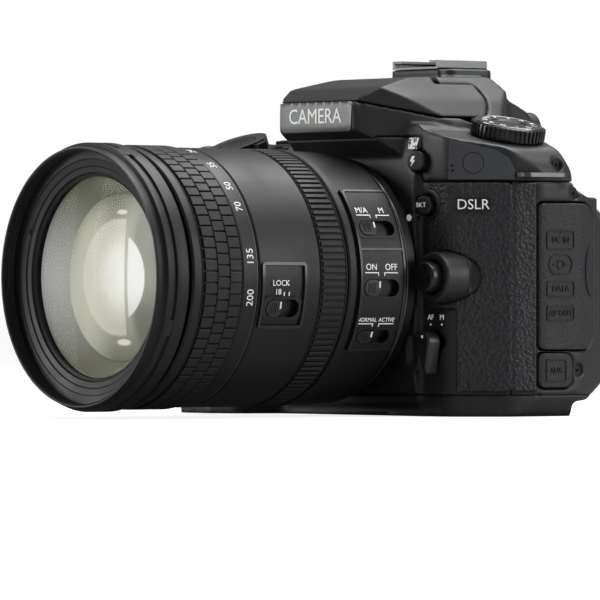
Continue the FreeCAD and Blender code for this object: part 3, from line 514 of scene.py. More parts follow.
def elementMaterial(name, look):
    # element seen inside the lens, with painted reflections: pale bands and patches of reflected light
    # painted on olive glass, and a painted glow
    material, tree, shader = plainMaterial(name)
    coords = addNode(tree, "ShaderNodeTexCoord")
    split = addNode(tree, "ShaderNodeSeparateXYZ")
    tree.links.new(coords.outputs["Object"], split.inputs[0])
    x = maths(tree, "MULTIPLY", split.outputs[0], 1 / mm)
    z = maths(tree, "MULTIPLY_ADD", split.outputs[2], 1 / mm, -axisHeight)

    def distance(cx, cz, flatten=1.0):
        dx = maths(tree, "SUBTRACT", x, cx)
        dz = maths(tree, "MULTIPLY", maths(tree, "SUBTRACT", z, cz), flatten)
        squares = maths(tree, "MULTIPLY", dx, dx), maths(tree, "MULTIPLY", dz, dz)
        return maths(tree, "SQRT", maths(tree, "ADD", *squares))

    height = maths(tree, "DIVIDE", maths(tree, "ABSOLUTE", z), look["reach"])
    ramp = addNode(tree, "ShaderNodeValToRGB")
    ramp.color_ramp.interpolation = "B_SPLINE"
    for i, (place, tone) in enumerate(look["bands"]):
        stop = ramp.color_ramp.elements[i] if i < 2 else ramp.color_ramp.elements.new(place)
        stop.position = place
        stop.color = (*tone, 1)
    tree.links.new(height, ramp.inputs[0])
    colour = ramp.outputs[0]
    for patch in look["patches"]:
        inside = maths(tree, "SUBTRACT", patch["radius"], distance(*patch["centre"]))
        inside = softStep(tree, inside, patch["soft"])
        if "from" in patch:
            past = softStep(tree, maths(tree, "SUBTRACT", x, patch["from"]), 0.5)
            inside = maths(tree, "MULTIPLY", inside, past)
        if "to" in patch:
            before = softStep(tree, maths(tree, "SUBTRACT", patch["to"], x), 0.3)
            inside = maths(tree, "MULTIPLY", inside, before)
        inside = maths(tree, "MULTIPLY", inside, patch["weight"])
        mix = addNode(tree, "ShaderNodeMix", {7: (*patch["tone"], 1)}, data_type="RGBA")
        linkNodes(tree, [(inside, mix.inputs[0]), (colour, mix.inputs[6])])
        colour = mix.outputs[2]
    film = addNode(tree, "ShaderNodeTexNoise", {"Scale": 40.0})
    rough = addNode(tree, "ShaderNodeMapRange", {"To Min": 0.12, "To Max": 0.2})
    linkNodes(tree, [
        (colour, shader.inputs["Base Color"]), (colour, shader.inputs["Emission Color"]),
        (coords.outputs["Object"], film.inputs["Vector"]), (film.outputs["Fac"], rough.inputs["Value"]),
        (rough.outputs["Result"], shader.inputs["Roughness"]),
    ])
    setInputs(shader, {"Emission Strength": look["glow"], "Specular IOR Level": 0.2})
    return material


looks = {
    "shell": {"colour": (0.020, 0.020, 0.0225), "rough": (0.40, 0.54), "grain": 2600, "bump": 0.35,
              "depth": 0.00006},
    "gloss": {"colour": (0.014, 0.014, 0.016), "rough": (0.22, 0.32), "grain": 3200, "bump": 0.12,
              "depth": 0.00003},
    # a light grey that is painted light: the lit face of the glossy corner plate, and a painted highlight
    # line on the zoom ring
    "panel": {"colour": (0.085, 0.085, 0.098), "rough": (0.3, 0.4), "grain": 3200, "bump": 0.15,
              "depth": 0.00003},
    "rubber": {"colour": (0.012, 0.012, 0.0135), "rough": (0.48, 0.64), "grain": 1800, "bump": 0.4,
               "depth": 0.00006, "specular": 0.4},
    "barrel": {"colour": (0.009, 0.009, 0.0105), "rough": (0.36, 0.5), "grain": 2400, "bump": 0.3,
               "depth": 0.00005, "specular": 0.36},
    "button": {"colour": (0.022, 0.022, 0.025), "rough": (0.3, 0.42), "grain": 2200, "bump": 0.15,
               "depth": 0.00004},
    "fascia": {"colour": (0.2, 0.2, 0.212), "rough": (0.34, 0.46), "grain": 2600, "bump": 0.25,
               "depth": 0.00005, "wear": 0.1, "metal": 0.3},
    "inner": {"colour": (0.006, 0.006, 0.007), "rough": (0.6, 0.8), "grain": 1500, "bump": 0.3,
              "depth": 0.00008},
    "steel": {"colour": (0.13, 0.13, 0.14), "worn": (0.4, 0.4, 0.4), "rough": (0.28, 0.4), "grain": 1500,
              "bump": 0.1, "depth": 0.00003, "metal": 0.9},
    "polished": {"colour": (0.42, 0.42, 0.44), "worn": (0.7, 0.7, 0.7), "rough": (0.18, 0.3), "grain": 900,
                 "bump": 0.05, "depth": 0.00003, "metal": 1.0},
    "darkSteel": {"colour": (0.03, 0.03, 0.033), "rough": (0.3, 0.45), "grain": 1500, "bump": 0.1,
                  "depth": 0.00003, "metal": 0.6},
    # the white print has a faint painted glow as well as its white colour
    "paint": {"colour": (0.9, 0.9, 0.9), "worn": (0.95, 0.95, 0.95), "rough": (0.5, 0.65), "grain": 2500,
              "bump": 0.1, "depth": 0.00002, "glow": 0.22},
    "gold": {"colour": (0.42, 0.30, 0.12), "rough": (0.3, 0.45), "grain": 2500, "bump": 0.1,
             "depth": 0.00002, "metal": 0.8},
    "screen": {"colour": (0.006, 0.007, 0.009), "rough": (0.04, 0.09), "grain": 500, "bump": 0.02,
               "depth": 0.00002, "coat": 0.6},
    "board": {"colour": (0.015, 0.09, 0.045), "rough": (0.3, 0.5), "grain": 800, "bump": 0.3,
              "depth": 0.0001},
    "cell": {"colour": (0.09, 0.09, 0.1), "rough": (0.4, 0.55), "grain": 1800, "bump": 0.2,
             "depth": 0.00005},
    "card": {"colour": (0.02, 0.035, 0.1), "rough": (0.35, 0.5), "grain": 1800, "bump": 0.2,
             "depth": 0.00005},
    "silver": {"colour": (0.85, 0.86, 0.87), "rough": (0.02, 0.05), "grain": 300, "bump": 0.01,
               "depth": 0.00001, "metal": 1.0},
}
material = {name: grainMaterial(name, look) for name, look in looks.items()}
material["leather"] = leatherMaterial("leather", {"colour": (0.034, 0.034, 0.039), "pebble": 1050,
                                                  "rough": (0.56, 0.34), "bump": 1.0, "depth": 0.0006})
material["coverSkin"] = leatherMaterial("coverSkin", {"colour": (0.026, 0.026, 0.030), "pebble": 1500,
                                                      "rough": (0.6, 0.45), "bump": 0.7, "depth": 0.0003})
material["frontGlass"] = glassMaterial("frontGlass", {
    "colour": (0.985, 0.985, 0.975), "tint": (0.96, 0.965, 0.95), "rough": 0.0, "transmission": 1.0,
    "ior": 1.09})
# the inner group's pale bands and patches are painted reflections of the lamps, and its glow is a painted
# glow
material["innerReflectionPaint"] = elementMaterial("innerReflectionPaint", {
    "reach": 24.0, "glow": 0.22,
    "bands": ((0.0, (0.56, 0.55, 0.47)), (0.45, (0.45, 0.445, 0.36)), (0.75, (0.29, 0.29, 0.22)),
              (1.0, (0.17, 0.172, 0.13))),
    "patches": (
        {"centre": (-20, 0, 0.62), "radius": 16, "soft": 7.0, "weight": 0.75, "tone": (0.68, 0.68, 0.57)},
        {"centre": (20, 0, 0.45), "radius": 14, "soft": 2.0, "weight": 0.85, "tone": (0.15, 0.16, 0.13)},
        {"centre": (1, 0), "radius": 16.4, "soft": 0.5, "to": 3.9, "weight": 0.6,
         "tone": (0.82, 0.81, 0.71)},
        {"centre": (2, 0, 0.8), "radius": 7, "soft": 5.0, "to": 3.9, "weight": 0.9,
         "tone": (1.0, 0.99, 0.95)},
        {"centre": (0.2, 0), "radius": 12.2, "soft": 0.35, "from": 5.3, "weight": 0.95,
         "tone": (0.95, 0.96, 0.93)},
        {"centre": (1.6, 18.2, 3.2), "radius": 2.2, "soft": 0.8, "weight": 0.8, "tone": (0.85, 0.85, 0.72)},
        {"centre": (2.4, -18.1, 3.2), "radius": 2.9, "soft": 0.8, "weight": 0.9, "tone": (0.9, 0.9, 0.8)},
    )})
# the cone's pale and dark bands are a painted reflection, with a painted glow
material["outerReflectionPaint"] = elementMaterial("outerReflectionPaint", {
    "reach": 28.6, "glow": 0.2,
    "bands": ((0.0, (0.74, 0.74, 0.77)), (0.35, (0.6, 0.6, 0.6)), (0.7, (0.28, 0.28, 0.23)),
              (1.0, (0.15, 0.15, 0.1))),
    "patches": ({"centre": (8, 0, 0.5), "radius": 20, "soft": 6.0, "weight": 0.6, "tone": (0.2, 0.2, 0.15)},
                )})
material["innerGlass"] = glassMaterial("innerGlass", {
    "colour": (0.62, 0.62, 0.5), "tint": (0.75, 0.74, 0.6), "rough": 0.02, "transmission": 0.55, "ior": 1.8,
    "metal": 0.4})
material["clearWindow"] = glassMaterial("clearWindow", {
    "colour": (0.93, 0.94, 0.95), "tint": (0.85, 0.88, 0.9), "rough": 0.05, "transmission": 0.9})
material["sensorGlass"] = glassMaterial("sensorGlass", {
    "colour": (0.3, 0.4, 0.38), "tint": (0.4, 0.35, 0.5), "rough": 0.03, "transmission": 0.3})
print("materials made:", len(material))


def makeRingTree():
    # blocks in rows round an axis: the rubber of the zoom ring, ribs and knurls
    tree = bpy.data.node_groups.new("ringOfBlocks", "GeometryNodeTree")
    face = tree.interface
    face.new_socket(name="Geometry", in_out="INPUT", socket_type="NodeSocketGeometry")
    for label, kind, value in (
            ("Around", "NodeSocketInt", 70), ("Rows", "NodeSocketInt", 3),
            ("Row Pitch", "NodeSocketFloat", 0.0045), ("Start", "NodeSocketFloat", 0.0),
            ("Radius", "NodeSocketFloat", 0.037), ("Stagger", "NodeSocketFloat", 0.5),
            ("Block Size", "NodeSocketVector", (0.0026, 0.0041, 0.0008)),
            ("Top Scale", "NodeSocketFloat", 0.85), ("First Turn", "NodeSocketFloat", 0.0),
            ("Material", "NodeSocketMaterial", None)):
        socket = face.new_socket(name=label, in_out="INPUT", socket_type=kind)
        if value is not None:
            socket.default_value = value
    face.new_socket(name="Geometry", in_out="OUTPUT", socket_type="NodeSocketGeometry")
    source = addNode(tree, "NodeGroupInput")
    sink = addNode(tree, "NodeGroupOutput")
    count = maths(tree, "MULTIPLY", source.outputs["Around"], source.outputs["Rows"])
    points = addNode(tree, "GeometryNodeMeshLine")
    index = addNode(tree, "GeometryNodeInputIndex").outputs[0]
    column = maths(tree, "MODULO", index, source.outputs["Around"])
    row = maths(tree, "FLOOR", maths(tree, "DIVIDE", index, source.outputs["Around"]))
    offset = maths(tree, "MULTIPLY", row, source.outputs["Stagger"])
    share = maths(tree, "DIVIDE", maths(tree, "ADD", column, offset), source.outputs["Around"])
    turn = maths(tree, "ADD", maths(tree, "MULTIPLY", share, 2 * math.pi), source.outputs["First Turn"])
    back = maths(tree, "MULTIPLY", row, source.outputs["Row Pitch"])
    place = addNode(tree, "ShaderNodeCombineXYZ")
    move = addNode(tree, "GeometryNodeSetPosition")
    spin = addNode(tree, "ShaderNodeCombineXYZ")
    cube = addNode(tree, "GeometryNodeMeshCube")
    normal = addNode(tree, "GeometryNodeInputNormal")
    split = addNode(tree, "ShaderNodeSeparateXYZ")
    isTop = addNode(tree, "FunctionNodeCompare", {1: 0.5}, operation="GREATER_THAN")
    extrude = addNode(tree, "GeometryNodeExtrudeMesh", {"Offset Scale": 0.00012})
    narrow = addNode(tree, "GeometryNodeScaleElements")
    scatter = addNode(tree, "GeometryNodeInstanceOnPoints")
    real = addNode(tree, "GeometryNodeRealizeInstances")
    paint = addNode(tree, "GeometryNodeSetMaterial")
    linkNodes(tree, [
        (count, points.inputs["Count"]),
        (maths(tree, "MULTIPLY", source.outputs["Radius"], maths(tree, "SINE", turn)), place.inputs[0]),
        (maths(tree, "ADD", source.outputs["Start"], back), place.inputs[1]),
        (maths(tree, "MULTIPLY", source.outputs["Radius"], maths(tree, "COSINE", turn)), place.inputs[2]),
        (points.outputs[0], move.inputs["Geometry"]), (place.outputs[0], move.inputs["Position"]),
        (turn, spin.inputs[1]), (source.outputs["Block Size"], cube.inputs["Size"]),
        (normal.outputs[0], split.inputs[0]), (split.outputs[2], isTop.inputs[0]),
        (cube.outputs["Mesh"], extrude.inputs["Mesh"]), (isTop.outputs[0], extrude.inputs["Selection"]),
        (extrude.outputs["Mesh"], narrow.inputs["Geometry"]),
        (extrude.outputs["Top"], narrow.inputs["Selection"]),
        (source.outputs["Top Scale"], narrow.inputs["Scale"]), (move.outputs[0], scatter.inputs["Points"]),
        (narrow.outputs[0], scatter.inputs["Instance"]), (spin.outputs[0], scatter.inputs["Rotation"]),
        (scatter.outputs[0], real.inputs[0]), (real.outputs[0], paint.inputs["Geometry"]),
        (source.outputs["Material"], paint.inputs["Material"]), (paint.outputs[0], sink.inputs[0]),
    ])
    return tree


ringTree = makeRingTree()


def ringOfBlocks(name, settings):
    # runs the ring tree and leaves a plain mesh, standing round the origin with its axis on Y
    obj = newObject(name, bpy.data.meshes.new(name))
    modifier = obj.modifiers.new("ring", "NODES")
    modifier.node_group = ringTree
    sockets = {item.name: item.identifier for item in ringTree.interface.items_tree if item.in_out == "INPUT"}
    for label, value in settings.items():
        modifier[sockets[label]] = value
    bakeModifiers(obj)
    return obj


def placeMesh(obj, matrix):
    obj.data.transform(matrix)
    obj.data.update()
    return obj


def lensShift(d):
    return Matrix.Translation(Vector((0, rimPlane + d, axisHeight)) * mm)


frontRim = {"rimR": 36.9, "hoodR": 38.0, "threadR": 36.0, "threadPitch": 0.75, "tubeR": 31.8}


def buildFrontTube():
    s = frontRim
    outline = [(0, s["threadR"] + 0.25), (0, s["rimR"] - 0.1), (1.1, s["rimR"]), (1.7, 36.8), (2.7, 37.1),
               (3.0, s["hoodR"]), (4.9, s["hoodR"]), (5.2, 37.25), (6.1, 37.25), (6.4, s["hoodR"]),
               (10.2, s["hoodR"]), (10.6, 37.6), (10.6, s["tubeR"]), (78, s["tubeR"]), (78, 30.6),
               (7.4, 30.6), (7.2, 28.4), (6.5, 28.5), (6.1, 29.4), (5.5, 29.6), (5.3, 31.2),
               (4.9, 31.5), (4.6, 33.3), (4.3, 33.5), (4.3, s["threadR"])]
    turns = int(4.0 / s["threadPitch"])
    for i in range(turns):                      # filter thread as fine grooves
        d = 4.0 - i * s["threadPitch"]
        outline.append((d, s["threadR"]))
        outline.append((d - s["threadPitch"] / 2, s["threadR"] - 0.28))
    tube = turnedPiece("frontTube", outline, 0.12, 256, 2)
    finishPiece(tube, "front_tube", material["barrel"], "front_tube")

    # bayonet stops for the hood and the two notches of the inner ring
    parts = []
    for angle in (22, 112, 202, 292):
        for d0, d1, width in ((3.2, 6.3, 5.0), (6.4, 7.4, 2.2)):
            parts.append(blockOnLens(d0, d1, math.radians(angle + (0 if d1 < 6.35 else 4)), width,
                                     37.0, 38.15))
    for angle in (-66, 114):
        parts.append(blockOnLens(4.55, 5.3, math.radians(angle), 1.5, 31.6, 33.0))
    stops = joinMeshes("hoodStops", parts)
    finishPiece(stops, "front_tube", material["barrel"], None)


def blockOnLens(d0, d1, turn, width, low, high, bevel=0.15):
    # a small bevelled block that follows the barrel
    verts = []
    steps = 6
    half = width / 2 / high
    for k in range(steps + 1):
        a = turn - half + 2 * half * k / steps
        verts += [lensPoint(d0, low, a), lensPoint(d1, low, a), lensPoint(d1 - bevel, high, a),
                  lensPoint(d0 + bevel, high, a)]
    faces = [(3, 2, 1, 0)]
    for k in range(steps):
        a, b = 4 * k, 4 * (k + 1)
        for i in range(4):
            j = (i + 1) % 4
            faces.append((a + i, a + j, b + j, b + i))
    n = 4 * steps
    faces.append((n, n + 1, n + 2, n + 3))
    obj = newObject("lensBlock", meshFromLists("lensBlock", verts, faces))
    fixNormals(obj)
    return obj


zoomRing = {"scale": ((18, 3), (24, 15), (35, 31), (50, 46), (70, 57.5), (135, 81), (200, 99)),
            "bricksAround": 72, "bandR": 37.0, "brickHeight": 0.75}


def stripBetween(outer, inner):
    # quads between two outlines with the same number of points
    n = len(outer)
    return outer + inner, [(i, (i + 1) % n, n + (i + 1) % n, n + i) for i in range(n)]


def frameOf(width, height, radius, line):
    outer = roundedPlate(width, height, radius)[0]
    inner = roundedPlate(width - 2 * line, height - 2 * line, max(radius - line, 0.1))[0]
    return stripBetween(outer, inner)


def buildZoomRing():
    s = zoomRing
    outline = [(12.2, 35.0), (12.2, 36.8), (12.8, 37.35), (15.3, 37.35), (15.6, 37.0), (15.6, 36.2),
               (30.2, 36.2), (30.2, 36.9), (30.6, s["bandR"]), (35.3, s["bandR"]), (35.7, 36.7),
               (35.7, 35.0)]
    ring = turnedPiece("zoomRing", outline, 0.12, 256)
    finishPiece(ring, "zoom_ring", material["barrel"], "zoom_ring")

    sleeve = turnedPiece("zoomRubber", [(15.7, 36.2), (15.7, 37.0), (16.0, 37.15), (16.4, 36.75),
                                        (29.6, 36.75), (29.9, 37.1), (30.1, 37.0), (30.1, 36.2)],
                         0.08, 256)
    columns = 3
    width = 13.0 / columns
    bricks = ringOfBlocks("zoomBricks", {
        "Around": s["bricksAround"], "Rows": columns, "Row Pitch": width * mm,
        "Start": (width / 2 + 16.5) * mm, "Radius": s["bandR"] * mm, "Stagger": 0.5,
        "Block Size": (2.75 * mm, (width - 0.22) * mm, s["brickHeight"] * mm),
        "Top Scale": 0.9, "Material": material["rubber"]})
    placeMesh(bricks, lensShift(0))
    rubber = joinMeshes("zoomRubber", [sleeve, bricks])
    shadeSoft(rubber, 25)
    finishPiece(rubber, "zoom_ring", material["rubber"], "zoom_rubber")

    parts = []
    for number, angle in s["scale"]:
        parts.append(markOnLens("zoomNumber", flatText(str(number), 3.3), 33.0, math.radians(angle),
                                s["bandR"], math.pi / 2))
    numbers = joinMeshes("zoomNumbers", parts)
    finishPiece(numbers, "zoom_ring", material["paint"])
    # a thin light grey ring: a painted highlight along the edge of the zoom ring
    line = turnedPiece("zoomEdgeHighlight", [(35.15, 36.6), (35.15, 37.04), (35.4, 37.04), (35.4, 36.6)],
                       0.03, 192, 1)
    finishPiece(line, "zoom_ring", material["panel"])


focusRing = {"ribs": 120, "ribR": 36.5, "ribMiddle": 63.15, "ribSize": (1.15, 7.9, 0.75)}


def buildFocusRing():
    s = focusRing
    outline = [(58.3, 35.0), (58.3, 36.4), (58.7, 36.8), (59.1, 36.35), (67.2, 36.35), (67.6, 36.8),
               (68.2, 36.5), (68.2, 35.0)]
    sleeve = turnedPiece("focusSleeve", outline, 0.1, 256)
    ribs = ringOfBlocks("focusRibs", {
        "Around": s["ribs"], "Rows": 1, "Row Pitch": 0.01, "Start": s["ribMiddle"] * mm,
        "Radius": s["ribR"] * mm, "Stagger": 0.0, "Block Size": tuple(side * mm for side in s["ribSize"]),
        "Top Scale": 0.82, "Material": material["rubber"]})
    placeMesh(ribs, lensShift(0))
    ring = joinMeshes("focusRing", [sleeve, ribs])
    shadeSoft(ring, 25)
    finishPiece(ring, "focus_ring", material["rubber"], "focus_ring")


barrelShape = {
    "bandR": 37.0, "panelR": 37.5, "plateR": 36.75, "border": 0.28,
    # distance behind the rim, turn in degrees, half height of the slot, words
    "switchWords": ((80.0, 68.0, 2.6, ("M/A", "M")), (79.7, 94.5, 2.8, ("ON", "OFF")),
                    (79.5, 116.5, 2.4, ("NORMAL", "ACTIVE"))),
    "lockPanel": {"d": 44.6, "turn": 98, "size": (16.0, 19.0)},
    "switchPanel": {"d": 80.3, "turn": 86, "size": (16.4, 49.4)},
    "namePlate": {"d": 46.0, "turn": 32, "size": (12.4, 24.0)},
}


def buildBarrel():
    s = barrelShape
    panelR = s["panelR"]
    lock = s["lockPanel"]
    switches = s["switchPanel"]
    name = s["namePlate"]
    barrel = nodeCopy("lensBarrel", "lens_barrel")
    barrel.data.polygons.foreach_set("use_smooth", [True] * len(barrel.data.polygons))
    shadeSoft(barrel, 20)
    finishPiece(barrel, "lens", material["barrel"], "lens_barrel")

    marks = []

    def bracketPair(d, turn, reach, r):
        left = merged([bar(-reach, -1.0, -0.14, 0.14), bar(-1.25, -1.0, -0.9, 0.14)])
        right = merged([bar(1.0, reach, -0.14, 0.14), bar(1.0, 1.25, -0.9, 0.14)])
        marks.append(markOnLens("bracket", merged([left, right]), d, turn, r))

    for d, angle, half, words in s["switchWords"]:
        top = math.radians(angle) - (half + 1.5) / panelR
        bracketPair(d, top, 6.0 if len(words[0]) < 5 else 6.4, panelR)
        size = 2.6 if len(words[0]) < 5 else 1.75
        for word, side in zip(words, (-3.6, 3.6)):
            place = top - (1.55 if size > 2 else 1.15) / panelR
            marks.append(markOnLens("word", flatText(word, size), d + side, place, panelR))
    marks.append(markOnLens("word", flatText("LOCK", 2.3), 43.4, math.radians(92.6), panelR))
    marks.append(markOnLens("word", flatText("18", 2.3), 42.4, math.radians(96.4), panelR))
    for x in (44.6, 46.4):
        marks.append(markOnLens("tick", bar(-0.16, 0.16, -0.55, 0.55), x, math.radians(97.2), panelR))
    marks.append(markOnLens("index", bar(-0.2, 0.2, -1.2, 1.2), 37.6, math.radians(3), s["bandR"]))
    labels = joinMeshes("lensMarks", marks)
    finishPiece(labels, "lens", material["paint"])

    bead = turnedPiece("barrelBead", [(91.3, 34.2), (91.3, 34.75), (91.7, 34.9), (92.2, 34.7), (92.2, 34.2)],
                       0.1, 256)
    finishPiece(bead, "lens", material["steel"], None)

    panels = [
        markOnLens("lockBorder", frameOf(*lock["size"], 1.3, 0.9), lock["d"], math.radians(lock["turn"]),
                   panelR, 0.0, s["border"]),
        markOnLens("switchBorder", frameOf(*switches["size"], 1.6, 0.7), switches["d"],
                   math.radians(switches["turn"]), panelR, 0.0, 0.25),
        markOnLens("switchDivider", bar(-7.7, 7.7, -0.3, 0.3), switches["d"], math.radians(77.6), panelR,
                   0.0, 0.25),
    ]
    borders = joinMeshes("panelBorders", panels)
    finishPiece(shadeSoft(borders, 30), "lens", material["gloss"])

    place = (name["d"], math.radians(name["turn"]))
    plate = markOnLens("namePlate", roundedPlate(*name["size"], 2.0), *place, s["plateR"], 0.0, 0.1)
    finishPiece(plate, "lens", material["gloss"])
    line = markOnLens("namePlateFrame", frameOf(10.8, 22.0, 1.4, 0.28), *place, s["plateR"] + 0.07,
                      0.0, 0.08)
    finishPiece(line, "lens", material["gold"])


glassShape = {"frontR": 30.4, "frontD": 7.3, "bulge": 3.4, "innerR": 23.3, "innerD": 15.2, "innerBulge": 1.6}


def domeProfile(d, radius, bulge, steps=24):
    ball = (radius ** 2 + bulge ** 2) / (2 * bulge)
    return [(d - (math.sqrt(ball ** 2 - r ** 2) - (ball - bulge)), r)
            for r in [radius * k / steps for k in range(steps + 1)]]


def spunSurface(name, profile, segments=128):
    # surface turned about the lens axis; the first point lies on the axis
    verts = [lensPoint(profile[0][0], 0, 0)]
    faces = []
    count = len(profile) - 1
    for k in range(segments):
        turn = 2 * math.pi * k / segments
        verts += [lensPoint(d, r, turn) for d, r in profile[1:]]
    for k in range(segments):
        a = 1 + k * count
        b = 1 + ((k + 1) % segments) * count
        faces.append((0, a, b))
        for i in range(count - 1):
            faces.append((a + i, a + i + 1, b + i + 1, b + i))
    obj = newObject(name, meshFromLists(name, verts, faces))
    fixNormals(obj)
    return obj


def buildGlass():
    s = glassShape
    front = domeProfile(s["frontD"], s["frontR"], s["bulge"])
    back = [(s["frontD"] + 1.2, r) for d, r in reversed(front)]
    pane = spunSurface("frontElement", front + back[:-1] + [(s["frontD"] + 1.2, 0.05)])
    shadeSoft(pane, 30)
    finishPiece(pane, "front_tube", material["frontGlass"], "front_element")

    group = domeProfile(s["innerD"], s["innerR"], s["innerBulge"])
    edge = [(s["innerD"] + 0.2, s["innerR"] + 0.2), (s["innerD"] + 5, s["innerR"] + 0.5),
            (s["innerD"] + 5, 0.05)]
    element = spunSurface("innerElement", group + edge)
    shadeSoft(element, 40)
    finishPiece(element, "middle_tube", material["innerReflectionPaint"], "inner_lens_group")

    # a thin cone behind the front element, there to carry a painted reflection: a grey-white crescent of
    # light
    bell = []
    for k in range(17):
        t = k / 16
        bell.append((8.8 + 6.6 * t ** 1.3, 28.6 - 5.1 * t))
    outer = [(d + 0.4, r + 0.5) for d, r in reversed(bell)]
    funnel = turnedPiece("reflectionCone", bell + outer, 0.05, 128, 1)
    shadeSoft(funnel, 60)
    finishPiece(funnel, "middle_tube", material["outerReflectionPaint"])


buildFrontTube()
buildZoomRing()
buildFocusRing()
buildBarrel()
buildGlass()
print("lens made")


# voxel is the size of the moulded skin's cells in millimetres, soften its rounds of smoothing
casings = {
    "top_cover": {"piece": "topCover", "voxel": 0.62, "soften": 5},
    "rear_cover": {"piece": "rearCover", "voxel": 0.62, "soften": 5},
    "front_casing": {"piece": "frontCasing", "voxel": 0.62, "soften": 5},
    "bottom_cover": {"piece": "bottomCover", "voxel": 0.62, "soften": 5},
    "rubber_skins": {"piece": "rubberSkins", "voxel": 0.4, "soften": 3, "look": "leather",
                     "slot": "pebbled_rubber"},
    "flash_head": {"piece": "flashHead", "voxel": 0.45, "soften": 4, "body": "flash"},
    "connector_cover": {"piece": "connectorCover", "voxel": 0.35, "soften": 4, "body": "connector_cover",
                        "look": "coverSkin", "slot": "soft_rubber"},
    "remote_cover": {"piece": "remoteCover", "voxel": 0.3, "soften": 3, "body": "remote_cover",
                     "look": "coverSkin", "slot": "soft_rubber"},
    "card_door": {"piece": "cardDoor", "voxel": 0.4, "soften": 4, "body": "card_door"},
    "battery_door": {"piece": "batteryDoor", "voxel": 0.4, "soften": 3, "body": "battery_door"},
    "eyecup": {"piece": "eyecup", "voxel": 0.35, "soften": 6, "look": "rubber", "slot": "soft_rubber"},
}
casing = {node: moulded(s["piece"], node, s) for node, s in casings.items()}
topTree = bvhOf(casing["top_cover"])
frontTree = bvhOf(casing["front_casing"])
skinTree = bvhOf(casing["rubber_skins"])
for node, s in casings.items():
    finishPiece(casing[node], s.get("body", "camera_body"), material[s.get("look", "shell")], node)
print("casings made")


def bodyMark(name, part, tree, place, across, up, look, lift=0.06, fine=1.6):
    # a plate or mark that follows the camera's casing
    piece = markOnSurface(name, part, tree, bodyPoint(*place), Vector(across), Vector(up), lift, 0.15, 10,
                          fine)
    shadeSoft(piece, 30)
    return finishPiece(piece, "camera_body", material[look])


def polygonPart(points):
    return [Vector((x, y, 0)) for x, y in points], [tuple(range(len(points)))]


def ringPart(x, y, r0, r1, sides=28):
    outer = disc(x, y, r1, sides)[0]
    inner = disc(x, y, r0, sides)[0]
    return stripBetween(outer, inner)


bolt = polygonPart([(-0.2, 1.5), (0.75, 1.5), (0.25, 0.35), (0.85, 0.35), (-0.5, -1.6), (-0.05, -0.15),
                    (-0.75, -0.15)])
frontWay = {"across": (1, 0, 0), "up": (0, 0, 1)}
backWay = {"across": (-1, 0, 0), "up": (0, 0, 1)}
chamfer = {"start": (42.0, 4.0), "along": (0.657, 0.754)}
cornerWay = {"across": (*chamfer["along"], 0), "up": (0, 0, 1)}


def chamferPlace(a, z):
    return (chamfer["start"][0] + a * chamfer["along"][0], chamfer["start"][1] + a * chamfer["along"][1], z)


def buildFrontMarks():
    # plate on the flash housing
    bodyMark("fasciaPlate", roundedPlate(32.6, 8.6, 1.6, 5, 0.03), topTree, (0, -10.7, 86.3), **frontWay,
             look="fascia", lift=0.3)
    bodyMark("fasciaWord", flatText("CAMERA", 6.2), topTree, (0, -10.7, 86.3), **frontWay, look="paint",
             lift=0.5, fine=3.0)
    # glossy corner panel with its receiver window and microphone; the panel's light grey is painted light,
    # the shine of a face turned towards the lamps
    outline = [(-9.3, -6.2), (9.7, -6.2), (9.8, -3.6), (8.2, -0.2), (4.7, 2.0), (-0.3, 3.2), (-5.3, 4.4),
               (-9.0, 5.1)]
    bodyMark("cornerPanel", polygonPart(outline), topTree, chamferPlace(9.3, 74.2), **cornerWay,
             look="panel", lift=0.35, fine=0.9)
    window = chamferPlace(7.2, 72.6)
    bodyMark("receiverRing", ringPart(0, 0, 2.85, 3.1), topTree, window, **cornerWay, look="inner", lift=0.39)
    bodyMark("receiverWindow", disc(0, 0, 2.8, 28), topTree, window, **cornerWay, look="panel", lift=0.45)
    holes = merged([disc(-0.7, -0.5, 0.42, 12), disc(0.7, -0.6, 0.42, 12), disc(0.5, 0.8, 0.42, 12)])
    bodyMark("microphone", holes, topTree, chamferPlace(0.6, 71.0), **cornerWay, look="inner", lift=0.42)
    # badge on the rubber
    badge = chamferPlace(7.2, 60.6)
    bodyMark("badge", roundedPlate(10.2, 4.3, 0.6), skinTree, badge, **cornerWay, look="gloss", lift=0.25)
    bodyMark("badgeWord", flatText("DSLR", 4.1), skinTree, badge, **cornerWay, look="paint", lift=0.4)
    # flash compensation mark
    bodyMark("flashMarkPlate", roundedPlate(3.6, 3.2, 0.15), frontTree, (28.2, 0, 78.4), **frontWay,
             look="paint")
    marks = merged([shifted(([v * 0.75 for v in bolt[0]], bolt[1]), -1.2, 0), bar(0.2, 1.5, -0.95, -0.7),
                    bar(0.2, 1.3, 0.55, 0.8), bar(0.63, 0.88, 0.15, 1.2)])
    bodyMark("flashMark", marks, frontTree, (28.2, 0, 78.4), **frontWay, look="inner", lift=0.1)
    # focus lever words
    words = merged([shifted(flatText("AF", 2.2), -2.3, 0), shifted(flatText("M", 2.2), 2.2, 0),
                    disc(-2.3, -2.0, 0.3), disc(2.2, -2.0, 0.3)])
    bodyMark("focusWords", words, frontTree, (37.2, 0, 28.4), **frontWay, look="paint")
    # lens alignment dot
    bodyMark("mountTab", disc(0, 0, 1.9), frontTree, (29.3, 0, 57.0), **frontWay, look="gloss", lift=0.4)
    bodyMark("mountDot", disc(0, 0, 0.95), frontTree, (29.3, 0, 57.0), **frontWay, look="paint", lift=0.55)


def capMark(name, part, node, body):
    # symbol on the face of a round button, which points out along -Y or +Y
    low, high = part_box(node)
    middle = (low + high) / 2
    front = middle.y < bodyPoint(0, 30, 0).y
    way = frontWay if front else backWay
    tree = bvhOf(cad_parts[node])
    piece = markOnSurface(name, part, tree, middle, Vector(way["across"]), Vector(way["up"]), 0.05, 0.1, 10)
    finishPiece(piece, body, material["paint"])


